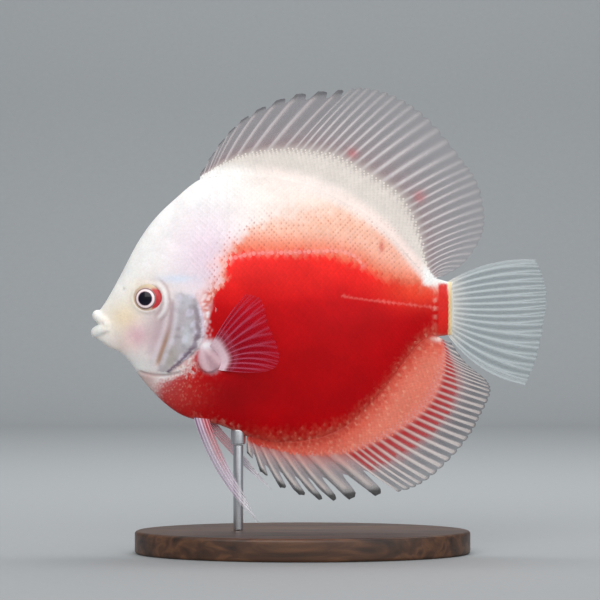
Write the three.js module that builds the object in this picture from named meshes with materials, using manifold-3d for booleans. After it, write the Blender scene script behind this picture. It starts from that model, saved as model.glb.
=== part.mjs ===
// Discus fish (Symphysodon), red and white colour form: a life-size museum model on a display stand.
// Millimetres, +Z up. The fish faces -X, its left flank looks along -Y, and y = 0 is its median plane.
// Outlines are [x, z] pairs on that plane, from a point at the middle of the fish's length and depth.
import * as THREE from "three";
import { mergeVertices } from "three/addons/utils/BufferGeometryUtils.js";
import Module from "manifold-3d";

const GAP = 0.3; // clearance between two pieces that touch
const FISH_HEIGHT = 89; // middle of the fish above the table

// Body outline along the back and along the belly, and the half breadth of the body at each x.
const BACK = [
  [-77.5, -4], [-74.4, 0.7], [-70.5, 7.7], [-63.8, 20.4], [-58.2, 28.3], [-51.2, 35.2],
  [-42.4, 42.2], [-34, 44.2], [-20, 44], [-7, 41.5], [4, 37.8], [15, 31.5],
  [25, 23.4], [33, 14], [37.5, 9.2], [45.2, 6.3],
];
const BELLY = [
  [-77.5, -14.2], [-73.7, -16.9], [-70.2, -18.3], [-66.3, -22.2], [-62.8, -27.4], [-56.1, -34.8],
  [-49.1, -40.1], [-42, -42.5], [-35, -44], [-25.8, -47.8], [-15, -50.5], [-3.3, -49.9],
  [8, -46], [19.5, -35.9], [28, -25.2], [34.5, -16.8], [38.5, -13.6], [45.2, -12.3],
];
const HALF_BREADTH = [
  [-77.5, 3.3], [-73.7, 5], [-68.4, 7], [-61, 9], [-52.6, 11.2], [-42, 12.8], [-31.5, 13.4],
  [-21, 13.2], [-7, 12], [7.2, 10.2], [21.3, 7.8], [31.8, 5.6], [38.9, 4.2], [45.2, 3.2],
];
const CREST = 0.8; // half thickness of the keel along back and belly
const SNOUT_ROUNDNESS = 0.5; // exponent of the cross-section at the snout
const FLANK_ROUNDNESS = 0.7; // and behind the gills, where the section is more lens-shaped
const BODY_STATIONS = 30;
const BODY_STRIPS = 12; // facets from back to belly on each flank

// The lines where the head ends under the gill covers, and where the tail stalk begins.
const GILL_LINE = [
  [-44.8, 49], [-43.4, 38.7], [-41.2, 24], [-40.6, 10.5], [-42.3, 2], [-41.8, -9],
  [-45.8, -20], [-54, -25.6], [-62, -26.6], [-69, -26.2],
];
const STALK_LINE = [[40.3, 20], [40.3, -30]];

// Head: eyes, lips, mouth and nostrils.
const EYE = { x: -60, z: 0.8, radius: 5.3, depth: 3, sunk: 0.9, cornea: 3.35, rim: 0.75 };
const UPPER_LIP = { front: -78.1, z: -5.4, cornerZ: -8, radius: 2 };
const LOWER_LIP = { front: -78.4, z: -11.4, cornerZ: -9.6, radius: 2.1 };
const LIP_CORNER = [-73.4, 4.1]; // x and half breadth of the corner of the mouth
const MOUTH = { z: -8.5, back: -75.2, height: 0.8 };
const NOSTRIL = { x: -68.7, z: 3.9, radius: 0.75 };

// Gill cover: its front and free rear edge, from the top down.
const COVER_FRONT = [[-50.8, 3.2], [-52, -6], [-55, -16.5], [-57, -24.3]];
const COVER_REAR = [[-43.4, 2.2], [-40.4, -7], [-41.6, -15.8], [-51.9, -24.8]];
const COVER_LIFT = 0.65; // how far the free edge stands off the flank
const COVER_THICKNESS = 0.7;

// Fins: each row is one ray by its foot, a point on the way and its tip. On the dorsal and anal fin
// the middle point lies on the edge of the scaled sheath.
const DORSAL_RAYS = [
  [[-42, 42.9], [-41.8, 43.8], [-41.3, 45]],
  [[-40.3, 43.3], [-38.7, 45.7], [-34.3, 55.9]],
  [[-37.5, 43.8], [-35, 48.2], [-24.8, 65.1]],
  [[-31.8, 44.1], [-25.1, 52.4], [-10, 71.9]],
  [[-21.3, 44.1], [-11.8, 54.2], [6.5, 73.8]],
  [[-12.1, 42.9], [-2.3, 53.8], [17.4, 74.5]],
  [[-4.7, 40.8], [7.2, 51.7], [28.3, 71]],
  [[3.7, 37.6], [16.4, 46.8], [38.9, 63.3]],
  [[14.9, 31.3], [28.3, 38.7], [49.4, 50.3]],
  [[22.7, 25.3], [33.6, 30.9], [55.4, 41.5]],
  [[29, 19], [36.7, 22.2], [58, 30.6]],
  [[33.6, 13.4], [37.8, 14.8], [56.8, 21.8]],
  [[37.8, 8.8], [39.6, 9.5], [50.5, 12.7]],
  [[40.3, 7.8], [41.3, 8], [43.4, 8.4]],
];
const ANAL_RAYS = [
  [[-25.5, -48.2], [-25.5, -49.6], [-25.3, -53.8]],
  [[-24.4, -48.5], [-23.6, -50.6], [-20.6, -60.1]],
  [[-22.3, -49.2], [-20.9, -51.7], [-13.5, -65.8]],
  [[-16, -50.5], [-13.5, -53.6], [-0.2, -70.3]],
  [[-7.9, -50.5], [-3.7, -55.2], [10.7, -70]],
  [[1.9, -48.5], [10.7, -54.5], [28.3, -67.3]],
  [[9, -45], [18.8, -51.7], [37.1, -63.6]],
  [[14.9, -40.4], [28.3, -47.1], [45.9, -55.9]],
  [[20.6, -34.8], [36.4, -41], [52.9, -47.5]],
  [[25.5, -28.5], [41.7, -34.5], [57.1, -39.7]],
  [[29.7, -23.2], [44.5, -27.4], [60, -32.6]],
  [[33.9, -17.8], [45, -22.2], [58.4, -28]],
  [[37.8, -14.6], [44.8, -18.5], [51.6, -22.4]],
  [[40.3, -13.6], [42.8, -15], [45.4, -16.6]],
];
const CAUDAL_RAYS = [
  [[44.4, 6], [59.3, 12.6], [76.3, 14.2]],
  [[44.4, 2.6], [61.7, 6], [79.2, 7]],
  [[44.4, -1.4], [62.4, -1.1], [80.2, 0]],
  [[44.4, -5.4], [61.7, -8.1], [79.1, -7.7]],
  [[44.4, -8.8], [60.3, -16.6], [76.7, -20]],
  [[44.4, -11.4], [57.8, -24.4], [72.6, -30.1]],
];
const PECTORAL_RAYS = [
  [[-37.8, -15.5], [-31.8, -6], [-25.5, 2.1]],
  [[-36.4, -16.9], [-29, -7.7], [-20.2, 0]],
  [[-35, -18.6], [-26.9, -12.7], [-18.1, -7.7]],
  [[-34.2, -20.7], [-25.5, -17.6], [-14.2, -17.9]],
  [[-34.2, -22.5], [-25.1, -21.5], [-15.3, -23.2]],
  [[-34.8, -24.3], [-26.9, -25], [-20.2, -25]],
];
const PELVIC_RAYS = {
  left: [
    [[-44.1, -41.4], [-36.7, -58.7], [-21.1, -77.9]],
    [[-42.4, -41.5], [-35.3, -58], [-23, -74.5]],
    [[-40.6, -41.7], [-33.9, -57.3], [-24.8, -71]],
    [[-38.9, -42], [-32.7, -56.6], [-27.3, -66.5]],
  ],
  right: [
    [[-41.7, -41.4], [-31.1, -54.3], [-17.1, -66.8]],
    [[-40.3, -41.6], [-30.4, -53.3], [-19.5, -64]],
    [[-38.9, -41.9], [-29.7, -52.6], [-22, -61.2]],
    [[-37.5, -42.2], [-29.4, -51.9], [-24.8, -57.8]],
  ],
};
const FIN = {
  foot: 0.8, // half thickness where the fin leaves the body
  sheathEdge: 0.48, // half thickness at the edge of the scaled sheath
  membrane: 0.26, // half thickness of the membrane
  softRay: 0.17, // how far a soft ray stands proud of each face
  spine: 0.3, // and a spine
  buried: 1, // depth of the foot inside the body before it is cut clear
};
const DORSAL_NOTCH = 0.11; // how far the web is cut back between two spines, as part of their length
const ANAL_NOTCH = 0.42;

// Stand: an oval base, a rod up to the belly and a small collar under the body.
const BASE = { x: -6, length: 118, breadth: 74, height: 8, edge: 1.5 };
const ROD = { x: -28.6, radius: 1.75 };
const COLLAR = { radius: 2.6, height: 4 };

const wasm = await Module();
wasm.setup();

const lerp = THREE.MathUtils.lerp;
const smoothstep = THREE.MathUtils.smoothstep;
const SIDES = { left: -1, right: 1 };

// A smooth function of x through [x, value] points.
function through(points) {
  const slope = points.map((p, i) => {
    const a = points[Math.max(0, i - 1)];
    const b = points[Math.min(points.length - 1, i + 1)];
    return (b[1] - a[1]) / (b[0] - a[0]);
  });
  return (x) => {
    const at = THREE.MathUtils.clamp(x, points[0][0], points.at(-1)[0]);
    let i = 0;
    while (i < points.length - 2 && at > points[i + 1][0]) i += 1;
    const [x0, v0] = points[i];
    const [x1, v1] = points[i + 1];
    const step = x1 - x0;
    const t = (at - x0) / step;
    const blend = t * t * (3 - 2 * t);
    return (
      lerp(v0, v1, blend) +
      step * (slope[i] * t * (1 - t) * (1 - t) - slope[i + 1] * t * t * (1 - t))
    );
  };
}

const backZ = through(BACK);
const bellyZ = through(BELLY);
const halfBreadth = through(HALF_BREADTH);
const SNOUT_X = BACK[0][0];
const TAIL_X = BACK.at(-1)[0];

// Half breadth of the body at x, v of the way from mid-depth to the back (1) or the belly (-1).
function breadthAt(x, v) {
  const round = lerp(SNOUT_ROUNDNESS, FLANK_ROUNDNESS, smoothstep(x, -70, -45));
  return CREST + (halfBreadth(x) - CREST) * Math.max(0, 1 - v * v) ** round;
}

// Half breadth of the body at a point of its side view.
function flankY(x, z) {
  const top = backZ(x);
  const bottom = bellyZ(x);
  const v = (2 * z - top - bottom) / (top - bottom);
  return breadthAt(x, THREE.MathUtils.clamp(v, -1, 1));
}

// A closed solid from a geometry, turned right side out.
function solid(geometry) {
  const bare = geometry.clone();
  bare.deleteAttribute("normal");
  bare.deleteAttribute("uv");
  const merged = mergeVertices(bare, 1e-4);
  const build = (triVerts) =>
    new wasm.Manifold(
      new wasm.Mesh({ numProp: 3, vertProperties: merged.attributes.position.array, triVerts }),
    );
  const corners = new Uint32Array(merged.index.array);
  const made = build(corners);
  return made.volume() < 0 ? build(corners.reverse()) : made;
}

function largest(made) {
  return made.decompose().sort((a, b) => b.volume() - a.volume())[0];
}

function geometryOf(points, corners) {
  return new THREE.BufferGeometry()
    .setAttribute("position", new THREE.Float32BufferAttribute(points.flat(), 3))
    .setIndex(corners);
}

// A solid through equal rings of points, closed by a fan at each end.
function loft(rings) {
  const around = rings[0].length;
  const middle = (ring) => [0, 1, 2].map((k) => ring.reduce((sum, p) => sum + p[k], 0) / around);
  const points = [...rings.flat(), middle(rings[0]), middle(rings.at(-1))];
  const corners = [];
  for (let k = 0; k < around; k += 1) {
    const next = (k + 1) % around;
    for (let i = 0; i < rings.length - 1; i += 1) {
      const a = i * around;
      const b = a + around;
      corners.push(a + k, a + next, b + next, a + k, b + next, b + k);
    }
    const last = (rings.length - 1) * around;
    corners.push(next, k, points.length - 2);
    corners.push(last + k, last + next, points.length - 1);
  }
  return geometryOf(points, corners);
}

// The whole body, or the body with every face moved out by grow.
function bodySolid(grow = 0) {
  const rings = [];
  for (let i = 0; i <= BODY_STATIONS; i += 1) {
    const x = lerp(SNOUT_X, TAIL_X, (i / BODY_STATIONS) ** 1.25);
    const middle = (backZ(x) + bellyZ(x)) / 2;
    const half = (backZ(x) - bellyZ(x)) / 2 + grow;
    const end = i === 0 ? -grow : i === BODY_STATIONS ? grow : 0;
    const flank = [];
    for (let k = 0; k <= BODY_STRIPS; k += 1) {
      const v = Math.cos((Math.PI * k) / BODY_STRIPS);
      flank.push([x + end, breadthAt(x, v) + grow, middle + half * v]);
    }
    rings.push([...flank, ...flank.toReversed().map(([px, py, pz]) => [px, -py, pz])]);
  }
  return solid(loft(rings));
}

// An upright prism over a polygon of the side view, from y = -reach to y = reach.
function prism(outline, reach) {
  const shape = new THREE.Shape(outline.map(([x, z]) => new THREE.Vector2(x, z)));
  const geometry = new THREE.ExtrudeGeometry(shape, { depth: 2 * reach, bevelEnabled: false });
  return solid(geometry.rotateX(Math.PI / 2).translate(0, reach, 0));
}

// A cut one gap wide along a line of the side view.
function slit(line, steps) {
  const curve = new THREE.SplineCurve(line.map(([x, z]) => new THREE.Vector2(x, z)));
  const near = [];
  const far = [];
  for (let i = 0; i <= steps; i += 1) {
    const at = curve.getPoint(i / steps);
    const along = curve.getTangent(i / steps);
    near.push([at.x - (along.y * GAP) / 2, at.y + (along.x * GAP) / 2]);
    far.push([at.x + (along.y * GAP) / 2, at.y - (along.x * GAP) / 2]);
  }
  return prism([...near, ...far.reverse()], 40);
}

// A thin closed sheet around a grid of middle points: both faces share one pattern of triangles.
function sheet(grid, halves) {
  const columns = grid.length - 1;
  const rows = grid[0].length - 1;
  const at = (i, j) =>
    grid[THREE.MathUtils.clamp(i, 0, columns)][THREE.MathUtils.clamp(j, 0, rows)];
  const points = [];
  for (const face of [1, -1]) {
    for (let i = 0; i <= columns; i += 1) {
      for (let j = 0; j <= rows; j += 1) {
        const across = at(i + 1, j).clone().sub(at(i - 1, j));
        const along = at(i, j + 1).clone().sub(at(i, j - 1));
        const out = across.cross(along).normalize().multiplyScalar(face * halves[i][j]);
        points.push(at(i, j).clone().add(out).toArray());
      }
    }
  }
  const front = (i, j) => i * (rows + 1) + j;
  const behind = (columns + 1) * (rows + 1);
  const corners = [];
  for (let i = 0; i < columns; i += 1) {
    for (let j = 0; j < rows; j += 1) {
      const [a, b, c, d] = [front(i, j), front(i + 1, j), front(i + 1, j + 1), front(i, j + 1)];
      corners.push(a, b, c, a, c, d);
      corners.push(behind + a, behind + c, behind + b, behind + a, behind + d, behind + c);
    }
  }
  const rim = [];
  for (let i = 0; i < columns; i += 1) rim.push(front(i, 0));
  for (let j = 0; j < rows; j += 1) rim.push(front(columns, j));
  for (let i = columns; i > 0; i -= 1) rim.push(front(i, rows));
  for (let j = rows; j > 0; j -= 1) rim.push(front(0, j));
  rim.forEach((p, n) => {
    const q = rim[(n + 1) % rim.length];
    corners.push(q, p, behind + p, q, behind + p, behind + q);
  });
  return solid(geometryOf(points, corners));
}

// The family of curved rays between the rows of a ray table: at(position, u) is the point u of the
// way along the ray at that position, counted in rows, and knee(position) is u at its middle point.
function rayFan(rays) {
  const curves = [0, 1, 2].map(
    (k) => new THREE.SplineCurve(rays.map((ray) => new THREE.Vector2(...ray[k]))),
  );
  const three = (position) => curves.map((curve) => curve.getPoint(position / (rays.length - 1)));
  const kneeOf = ([foot, middle, tip]) =>
    foot.distanceTo(middle) / (foot.distanceTo(middle) + middle.distanceTo(tip));
  return {
    knee: (position) => kneeOf(three(position)),
    at(position, u) {
      const [foot, middle, tip] = three(position);
      const k = kneeOf([foot, middle, tip]);
      const weights = [
        ((u - k) * (u - 1)) / k,
        (u * (u - 1)) / (k * (k - 1)),
        (u * (u - k)) / (1 - k),
      ];
      return foot
        .clone()
        .multiplyScalar(weights[0])
        .addScaledVector(middle, weights[1])
        .addScaledVector(tip, weights[2]);
    },
  };
}

// Columns of a spiny part: at each spine its crest and the membrane close before and behind it, with
// the membrane cut back between the tips. Each column has a place, a ridge height and a reach.
function spineColumns(places, notch) {
  return places.flatMap((place, n) => {
    const step = (places[n + 1] ?? place + (place - places[n - 1])) - place;
    const before = n === 0 ? [] : [{ place: place - 0.2 * step, ridge: 0, reach: 1 - notch }];
    return [
      ...before,
      { place, ridge: FIN.spine, reach: 1 },
      { place: place + 0.3 * step, ridge: 0, reach: 1 - 0.08 * notch },
      { place: place + 0.6 * step, ridge: 0, reach: 1 - 0.4 * notch },
    ];
  });
}

// Columns of a soft part: ray crests with the membrane half-way between them.
function softColumns(from, to, rays) {
  const columns = [];
  for (let i = 0; i <= 2 * rays; i += 1) {
    const crest = i % 2 === 0;
    columns.push({
      place: lerp(from, to, i / (2 * rays)),
      ridge: crest ? FIN.softRay : 0,
      reach: crest ? 1 : 0.985,
    });
  }
  return columns;
}

// A dorsal or anal fin: thick and scaled up to the knee of its rays, thin and ribbed beyond.
function sheathedFin(rays, columns, sway) {
  const fan = rayFan(rays);
  const grid = [];
  const halves = [];
  for (const { place, ridge, reach } of columns) {
    const knee = fan.knee(place);
    const free = [0.22, 0.5, 0.78, 1].map((part) => knee + (reach - knee) * part);
    const stations = [0, knee / 2, knee, ...free];
    grid.push(
      stations.map((u) => {
        const p = fan.at(place, u);
        return new THREE.Vector3(p.x, sway * u * u * Math.sin(1.3 * place), p.y);
      }),
    );
    halves.push(
      stations.map((u) =>
        u <= knee ? lerp(FIN.foot, FIN.sheathEdge, u / knee) : FIN.membrane + ridge * (1.15 - 0.4 * u),
      ),
    );
  }
  return sheet(grid, halves);
}

// The dorsal and anal fins start just inside the body, so their feet are moved in by this much.
const bury = (rays, depth) =>
  rays.map(([foot, middle, tip]) => [[foot[0], foot[1] + depth], middle, tip]);

const body = bodySolid();
const clearance = bodySolid(GAP);
const clearOfBody = (made) => largest(made.subtract(clearance));

// The plate of one gill cover, or the recess for it when grow is set.
function gillCover(side, grow = 0) {
  const steps = 8;
  const across = 5;
  const front = new THREE.SplineCurve(COVER_FRONT.map((p) => new THREE.Vector2(...p)));
  const rear = new THREE.SplineCurve(COVER_REAR.map((p) => new THREE.Vector2(...p)));
  const rings = [];
  for (let j = 0; j <= steps; j += 1) {
    const a = front.getPoint(j / steps);
    const b = rear.getPoint(j / steps);
    const down = front.getTangent(j / steps).multiplyScalar(j === 0 ? -grow : j === steps ? grow : 0);
    const back = b.clone().sub(a).normalize().multiplyScalar(grow);
    const outer = [];
    const inner = [];
    for (let i = 0; i <= across; i += 1) {
      const t = i / across;
      const end = i === 0 ? -1 : i === across ? 1 : 0;
      const p = a.clone().lerp(b, t).addScaledVector(back, end).add(down);
      const flank = flankY(p.x, p.y);
      const lift = COVER_LIFT * t * t;
      outer.push([p.x, side * (flank + lift + (grow ? 3 : 0)), p.y]);
      inner.push([p.x, side * (flank + lift - COVER_THICKNESS - grow), p.y]);
    }
    rings.push([...outer, ...inner.reverse()]);
  }
  return solid(loft(rings));
}

// The point of the flank at x, z on one side, and the direction that faces out there.
function flankFrame(side, x, z) {
  const step = 1;
  const out = new THREE.Vector3(
    (flankY(x - step, z) - flankY(x + step, z)) / (2 * step),
    side,
    (flankY(x, z - step) - flankY(x, z + step)) / (2 * step),
  ).normalize();
  const at = new THREE.Vector3(x, side * flankY(x, z), z);
  return { at, out };
}

// A round piece made about +Y, set on the flank so that +Y faces out.
function setOnFlank(geometry, side, x, z, sunk = 0) {
  const { at, out } = flankFrame(side, x, z);
  const turn = new THREE.Quaternion().setFromUnitVectors(new THREE.Vector3(0, 1, 0), out);
  const place = at.addScaledVector(out, -sunk);
  return solid(geometry.applyMatrix4(new THREE.Matrix4().compose(place, turn, new THREE.Vector3(1, 1, 1))));
}

// Eyeball with its clear front standing out of the white of the eye.
function eyeball(side) {
  const { radius, depth, cornea } = EYE;
  const profile = [
    [0, -depth], [0.6 * radius, -0.8 * depth], [0.93 * radius, -0.37 * depth], [radius, 0],
    [0.97 * radius, 0.8], [0.84 * radius, 1.5], [cornea, 1.85], [0.8 * cornea, 2.4],
    [0.45 * cornea, 2.75], [0, 2.9],
  ];
  const lathe = new THREE.LatheGeometry(profile.map((p) => new THREE.Vector2(...p)), 20);
  return setOnFlank(lathe, side, EYE.x, EYE.z, EYE.sunk);
}

function eyeSocket(side) {
  const bore = EYE.radius + GAP;
  const profile = [
    [0, -EYE.depth - GAP], [0.62 * bore, -0.84 * (EYE.depth + GAP)],
    [bore, -0.3 * EYE.depth], [bore, 5], [0, 5],
  ];
  const lathe = new THREE.LatheGeometry(profile.map((p) => new THREE.Vector2(...p)), 24);
  return setOnFlank(lathe, side, EYE.x, EYE.z, EYE.sunk);
}

// Fleshy rim of the orbit.
function orbitRim(side) {
  const ring = new THREE.TorusGeometry(EYE.radius + GAP + 0.35, EYE.rim, 6, 24).rotateX(Math.PI / 2);
  return setOnFlank(ring, side, EYE.x, EYE.z, 0.15);
}

function nostril(side) {
  const pit = new THREE.SphereGeometry(NOSTRIL.radius, 8, 6);
  return setOnFlank(pit, side, NOSTRIL.x, NOSTRIL.z);
}

// A lip: a round roll from one corner of the mouth round the front to the other.
function lip({ front, z, cornerZ, radius }) {
  const [cornerX, cornerY] = LIP_CORNER;
  const path = new THREE.CatmullRomCurve3([
    new THREE.Vector3(cornerX, -cornerY, cornerZ),
    new THREE.Vector3(lerp(cornerX, front, 0.6), -0.75 * cornerY, lerp(cornerZ, z, 0.7)),
    new THREE.Vector3(front, 0, z),
    new THREE.Vector3(lerp(cornerX, front, 0.6), 0.75 * cornerY, lerp(cornerZ, z, 0.7)),
    new THREE.Vector3(cornerX, cornerY, cornerZ),
  ]);
  const section = new THREE.Shape();
  section.absarc(0, 0, radius, 0, 2 * Math.PI);
  const options = { steps: 12, extrudePath: path, curveSegments: 8, bevelEnabled: false };
  return solid(new THREE.ExtrudeGeometry(section, options));
}

// The gape: a wedge between the lips that closes towards the corner.
function gape() {
  const { z, back, height } = MOUTH;
  const front = SNOUT_X - 8;
  return prism([[front, z - height], [back, z - 0.1], [back, z + 0.1], [front, z + height]], 10);
}

// Whole body with its lips and orbits, parted into head, trunk and tail stalk.
function partedBody() {
  let flesh = body.add(lip(UPPER_LIP)).add(lip(LOWER_LIP)).subtract(gape());
  for (const side of Object.values(SIDES)) {
    flesh = flesh.add(orbitRim(side)).subtract(eyeSocket(side));
    flesh = flesh.subtract(nostril(side)).subtract(gillCover(side, GAP));
  }
  flesh = flesh.subtract(slit(GILL_LINE, 24)).subtract(slit(STALK_LINE, 1));
  const lengthwise = (made) => made.boundingBox().min[0];
  const [trunk, head, stalk] = flesh
    .decompose()
    .sort((a, b) => b.volume() - a.volume())
    .slice(0, 3);
  return [head, trunk, stalk].sort((a, b) => lengthwise(a) - lengthwise(b));
}

// Dorsal fin: ten spines, then soft rays.
function dorsalFin() {
  const spines = Array.from({ length: 10 }, (_, i) => (i * 4) / 9);
  const soft = softColumns(4.4, DORSAL_RAYS.length - 1, 21);
  const columns = [...spineColumns(spines, DORSAL_NOTCH), ...soft];
  return clearOfBody(sheathedFin(bury(DORSAL_RAYS, -FIN.buried), columns, 1.2));
}

// Anal fin: eight spines with deeply cut lobes, then soft rays.
function analFin() {
  const spines = [0, 1, 2, 2.5, 3, 3.5, 4, 4.5];
  const soft = softColumns(4.95, ANAL_RAYS.length - 1, 20);
  const columns = [...spineColumns(spines, ANAL_NOTCH), ...soft];
  return clearOfBody(sheathedFin(bury(ANAL_RAYS, FIN.buried), columns, -1.2));
}

// Tail fin: a ribbed fan, as thick as the tail stalk at its foot and swung a little to one side.
function caudalFin() {
  const fan = rayFan(CAUDAL_RAYS);
  const stations = [0, 0.1, 0.25, 0.45, 0.7, 0.88, 1];
  const grid = [];
  const halves = [];
  for (const { place, ridge, reach } of softColumns(0, CAUDAL_RAYS.length - 1, 15)) {
    const points = stations.map((u) => fan.at(place, u * reach));
    grid.push(points.map((p, j) => new THREE.Vector3(p.x, 2.4 * stations[j] ** 2, p.y)));
    halves.push(
      points.map((p, j) => {
        const free = FIN.membrane + ridge;
        const root = Math.min(2, flankY(TAIL_X, p.y) - 0.2);
        return lerp(Math.max(root, free), free, smoothstep(stations[j], 0, 0.25));
      }),
    );
  }
  return clearOfBody(sheet(grid, halves));
}

// Pectoral fin: a fleshy lobe on the flank and a fan of rays that stands out from it.
function pectoralFin(side) {
  const fan = rayFan(PECTORAL_RAYS);
  const last = PECTORAL_RAYS.length - 1;
  const stations = [0, 0.12, 0.3, 0.5, 0.75, 1];
  const grid = [];
  const halves = [];
  for (const { place, ridge, reach } of softColumns(0, last, 10)) {
    const spread = lerp(12.5, 6.5, place / last);
    const points = stations.map((u) => fan.at(place, u * reach));
    grid.push(
      points.map((p, j) => {
        const out = -FIN.buried + (spread + FIN.buried) * stations[j] ** 0.85;
        return new THREE.Vector3(p.x, side * (flankY(p.x, p.y) + out), p.y);
      }),
    );
    halves.push(stations.map((u) => lerp(1.1, FIN.membrane + ridge, smoothstep(u, 0, 0.28))));
  }
  const lobe = new THREE.SphereGeometry(1, 14, 9).scale(4.2, 1.3, 5.6).rotateY(-0.35);
  const { at } = flankFrame(side, -37.9, -19.6);
  const root = solid(lobe.translate(at.x, at.y, at.z));
  return clearOfBody(sheet(grid, halves).add(root).subtract(gillCover(side, GAP)));
}

// Pelvic fin: a narrow ribbed blade that runs out into a filament.
function pelvicFin(side, rays) {
  const fan = rayFan(rays);
  const last = rays.length - 1;
  const stations = [0, 0.1, 0.22, 0.4, 0.6, 0.8, 0.92, 1];
  const grid = [];
  const halves = [];
  for (const { place, ridge } of softColumns(0, last, 4)) {
    const points = stations.map((u) => fan.at(place, u));
    grid.push(
      points.map((p, j) => {
        const y = 2.2 + 4.2 * Math.sin((Math.PI / 2) * stations[j]) - (0.8 * place * stations[j]) / last;
        return new THREE.Vector3(p.x, side * y, p.y);
      }),
    );
    halves.push(stations.map((u) => lerp(0.9, 0.24 + 0.8 * ridge, smoothstep(u, 0, 0.22))));
  }
  return clearOfBody(sheet(grid, halves));
}

// Oval base with a softened edge.
function standBase() {
  const { length, breadth, height, edge } = BASE;
  const inset = edge / (length / 2);
  const profile = [
    [0, 0], [1 - inset / 2, 0], [1, edge / 2], [1, height - edge],
    [1 - 0.3 * inset, height - 0.3 * edge], [1 - inset, height], [0, height],
  ];
  const lathe = new THREE.LatheGeometry(profile.map((p) => new THREE.Vector2(...p)), 48);
  return solid(lathe.rotateX(Math.PI / 2).scale(length / 2, breadth / 2, 1));
}

const round = (radius, bottom, top, sides) =>
  new THREE.CylinderGeometry(radius, radius, top - bottom, sides)
    .rotateX(Math.PI / 2)
    .translate(ROD.x, 0, (top + bottom) / 2);

// Rod from the base up to the collar, and the collar cut to the curve of the belly.
function standRod() {
  const bottom = BASE.height + GAP - FISH_HEIGHT;
  return solid(round(ROD.radius, bottom, bellyZ(ROD.x) - COLLAR.height - GAP, 20));
}

function standCollar() {
  const bottom = bellyZ(ROD.x) - COLLAR.height;
  return clearOfBody(solid(round(COLLAR.radius, bottom, bellyZ(ROD.x) + 2, 24)));
}

// Colours and surface of each kind of piece.
const FINISH = {
  head: { color: 0xf3e6da, roughness: 0.4 },
  trunk: { color: 0xb8101c, roughness: 0.35 },
  cover: { color: 0xe9c6c0, roughness: 0.35 },
  eye: { color: 0xf4f2ee, roughness: 0.15 },
  sheath: { color: 0xf2c9b8, roughness: 0.45 },
  redFin: { color: 0xc4202a, roughness: 0.45 },
  paleFin: { color: 0xaab8bc, roughness: 0.4 },
  pelvic: { color: 0xe8c8d2, roughness: 0.45 },
  base: { color: 0x2c1d14, roughness: 0.5 },
  steel: { color: 0xb9bcc0, roughness: 0.3, metalness: 1 },
};

function meshOf(name, made, finish) {
  const { vertProperties, triVerts } = made.getMesh();
  const geometry = new THREE.BufferGeometry()
    .setAttribute("position", new THREE.BufferAttribute(vertProperties, 3))
    .setIndex(new THREE.BufferAttribute(triVerts, 1));
  const mesh = new THREE.Mesh(geometry, new THREE.MeshStandardMaterial(FINISH[finish]));
  mesh.name = name;
  return mesh;
}

const fish = new THREE.Group();
const [head, trunk, stalk] = partedBody();
fish.add(meshOf("head", head, "head"));
fish.add(meshOf("trunk", trunk, "trunk"));
fish.add(meshOf("tail_stalk", stalk, "trunk"));
fish.add(meshOf("dorsal_fin", dorsalFin(), "sheath"));
fish.add(meshOf("anal_fin", analFin(), "redFin"));
fish.add(meshOf("tail_fin", caudalFin(), "paleFin"));
for (const [name, side] of Object.entries(SIDES)) {
  fish.add(meshOf(`gill_cover_${name}`, gillCover(side), "cover"));
  fish.add(meshOf(`eye_${name}`, eyeball(side), "eye"));
  fish.add(meshOf(`pectoral_fin_${name}`, pectoralFin(side), "redFin"));
  fish.add(meshOf(`pelvic_fin_${name}`, pelvicFin(side, PELVIC_RAYS[name]), "pelvic"));
}
fish.add(meshOf("stand_rod", standRod(), "steel"));
fish.add(meshOf("stand_collar", standCollar(), "steel"));
fish.position.z = FISH_HEIGHT;

const model = new THREE.Group();
const base = meshOf("stand_base", standBase(), "base");
base.position.x = BASE.x;
model.add(fish, base);

// The origin is on the table under the middle of the whole model.
const extent = new THREE.Box3().setFromObject(model);
model.position.x = -(extent.min.x + extent.max.x) / 2;

export default model;
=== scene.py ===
# Life-size museum model of a red and white discus fish on a display stand.
# The fish faces -X with its left flank towards the camera. Its own sizes are millimetres from the
# middle of the fish: x along the body, y across it, z up.
import math

import bpy
import numpy as np
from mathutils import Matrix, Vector
from mathutils.bvhtree import BVHTree


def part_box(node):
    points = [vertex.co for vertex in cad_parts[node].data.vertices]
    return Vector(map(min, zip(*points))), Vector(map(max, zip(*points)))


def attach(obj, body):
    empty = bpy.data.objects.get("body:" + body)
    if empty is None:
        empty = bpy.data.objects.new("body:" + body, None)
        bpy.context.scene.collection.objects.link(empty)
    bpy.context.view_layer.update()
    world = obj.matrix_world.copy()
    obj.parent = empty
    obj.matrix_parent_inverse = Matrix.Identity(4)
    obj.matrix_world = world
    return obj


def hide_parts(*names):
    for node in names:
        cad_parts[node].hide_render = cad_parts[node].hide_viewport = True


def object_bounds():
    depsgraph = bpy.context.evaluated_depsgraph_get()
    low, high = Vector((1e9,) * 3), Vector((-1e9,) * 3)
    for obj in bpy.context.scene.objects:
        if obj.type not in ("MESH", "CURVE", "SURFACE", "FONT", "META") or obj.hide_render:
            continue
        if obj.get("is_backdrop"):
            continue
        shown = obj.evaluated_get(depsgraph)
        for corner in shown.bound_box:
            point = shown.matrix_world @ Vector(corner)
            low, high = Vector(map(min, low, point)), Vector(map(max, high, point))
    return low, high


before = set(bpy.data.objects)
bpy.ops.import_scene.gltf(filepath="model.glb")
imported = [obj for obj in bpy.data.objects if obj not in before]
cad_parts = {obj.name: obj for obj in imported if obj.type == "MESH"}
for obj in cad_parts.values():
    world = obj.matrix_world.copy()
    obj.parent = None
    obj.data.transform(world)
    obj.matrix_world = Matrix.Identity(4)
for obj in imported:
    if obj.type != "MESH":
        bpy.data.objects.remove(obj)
cad_low, cad_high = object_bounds()

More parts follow.
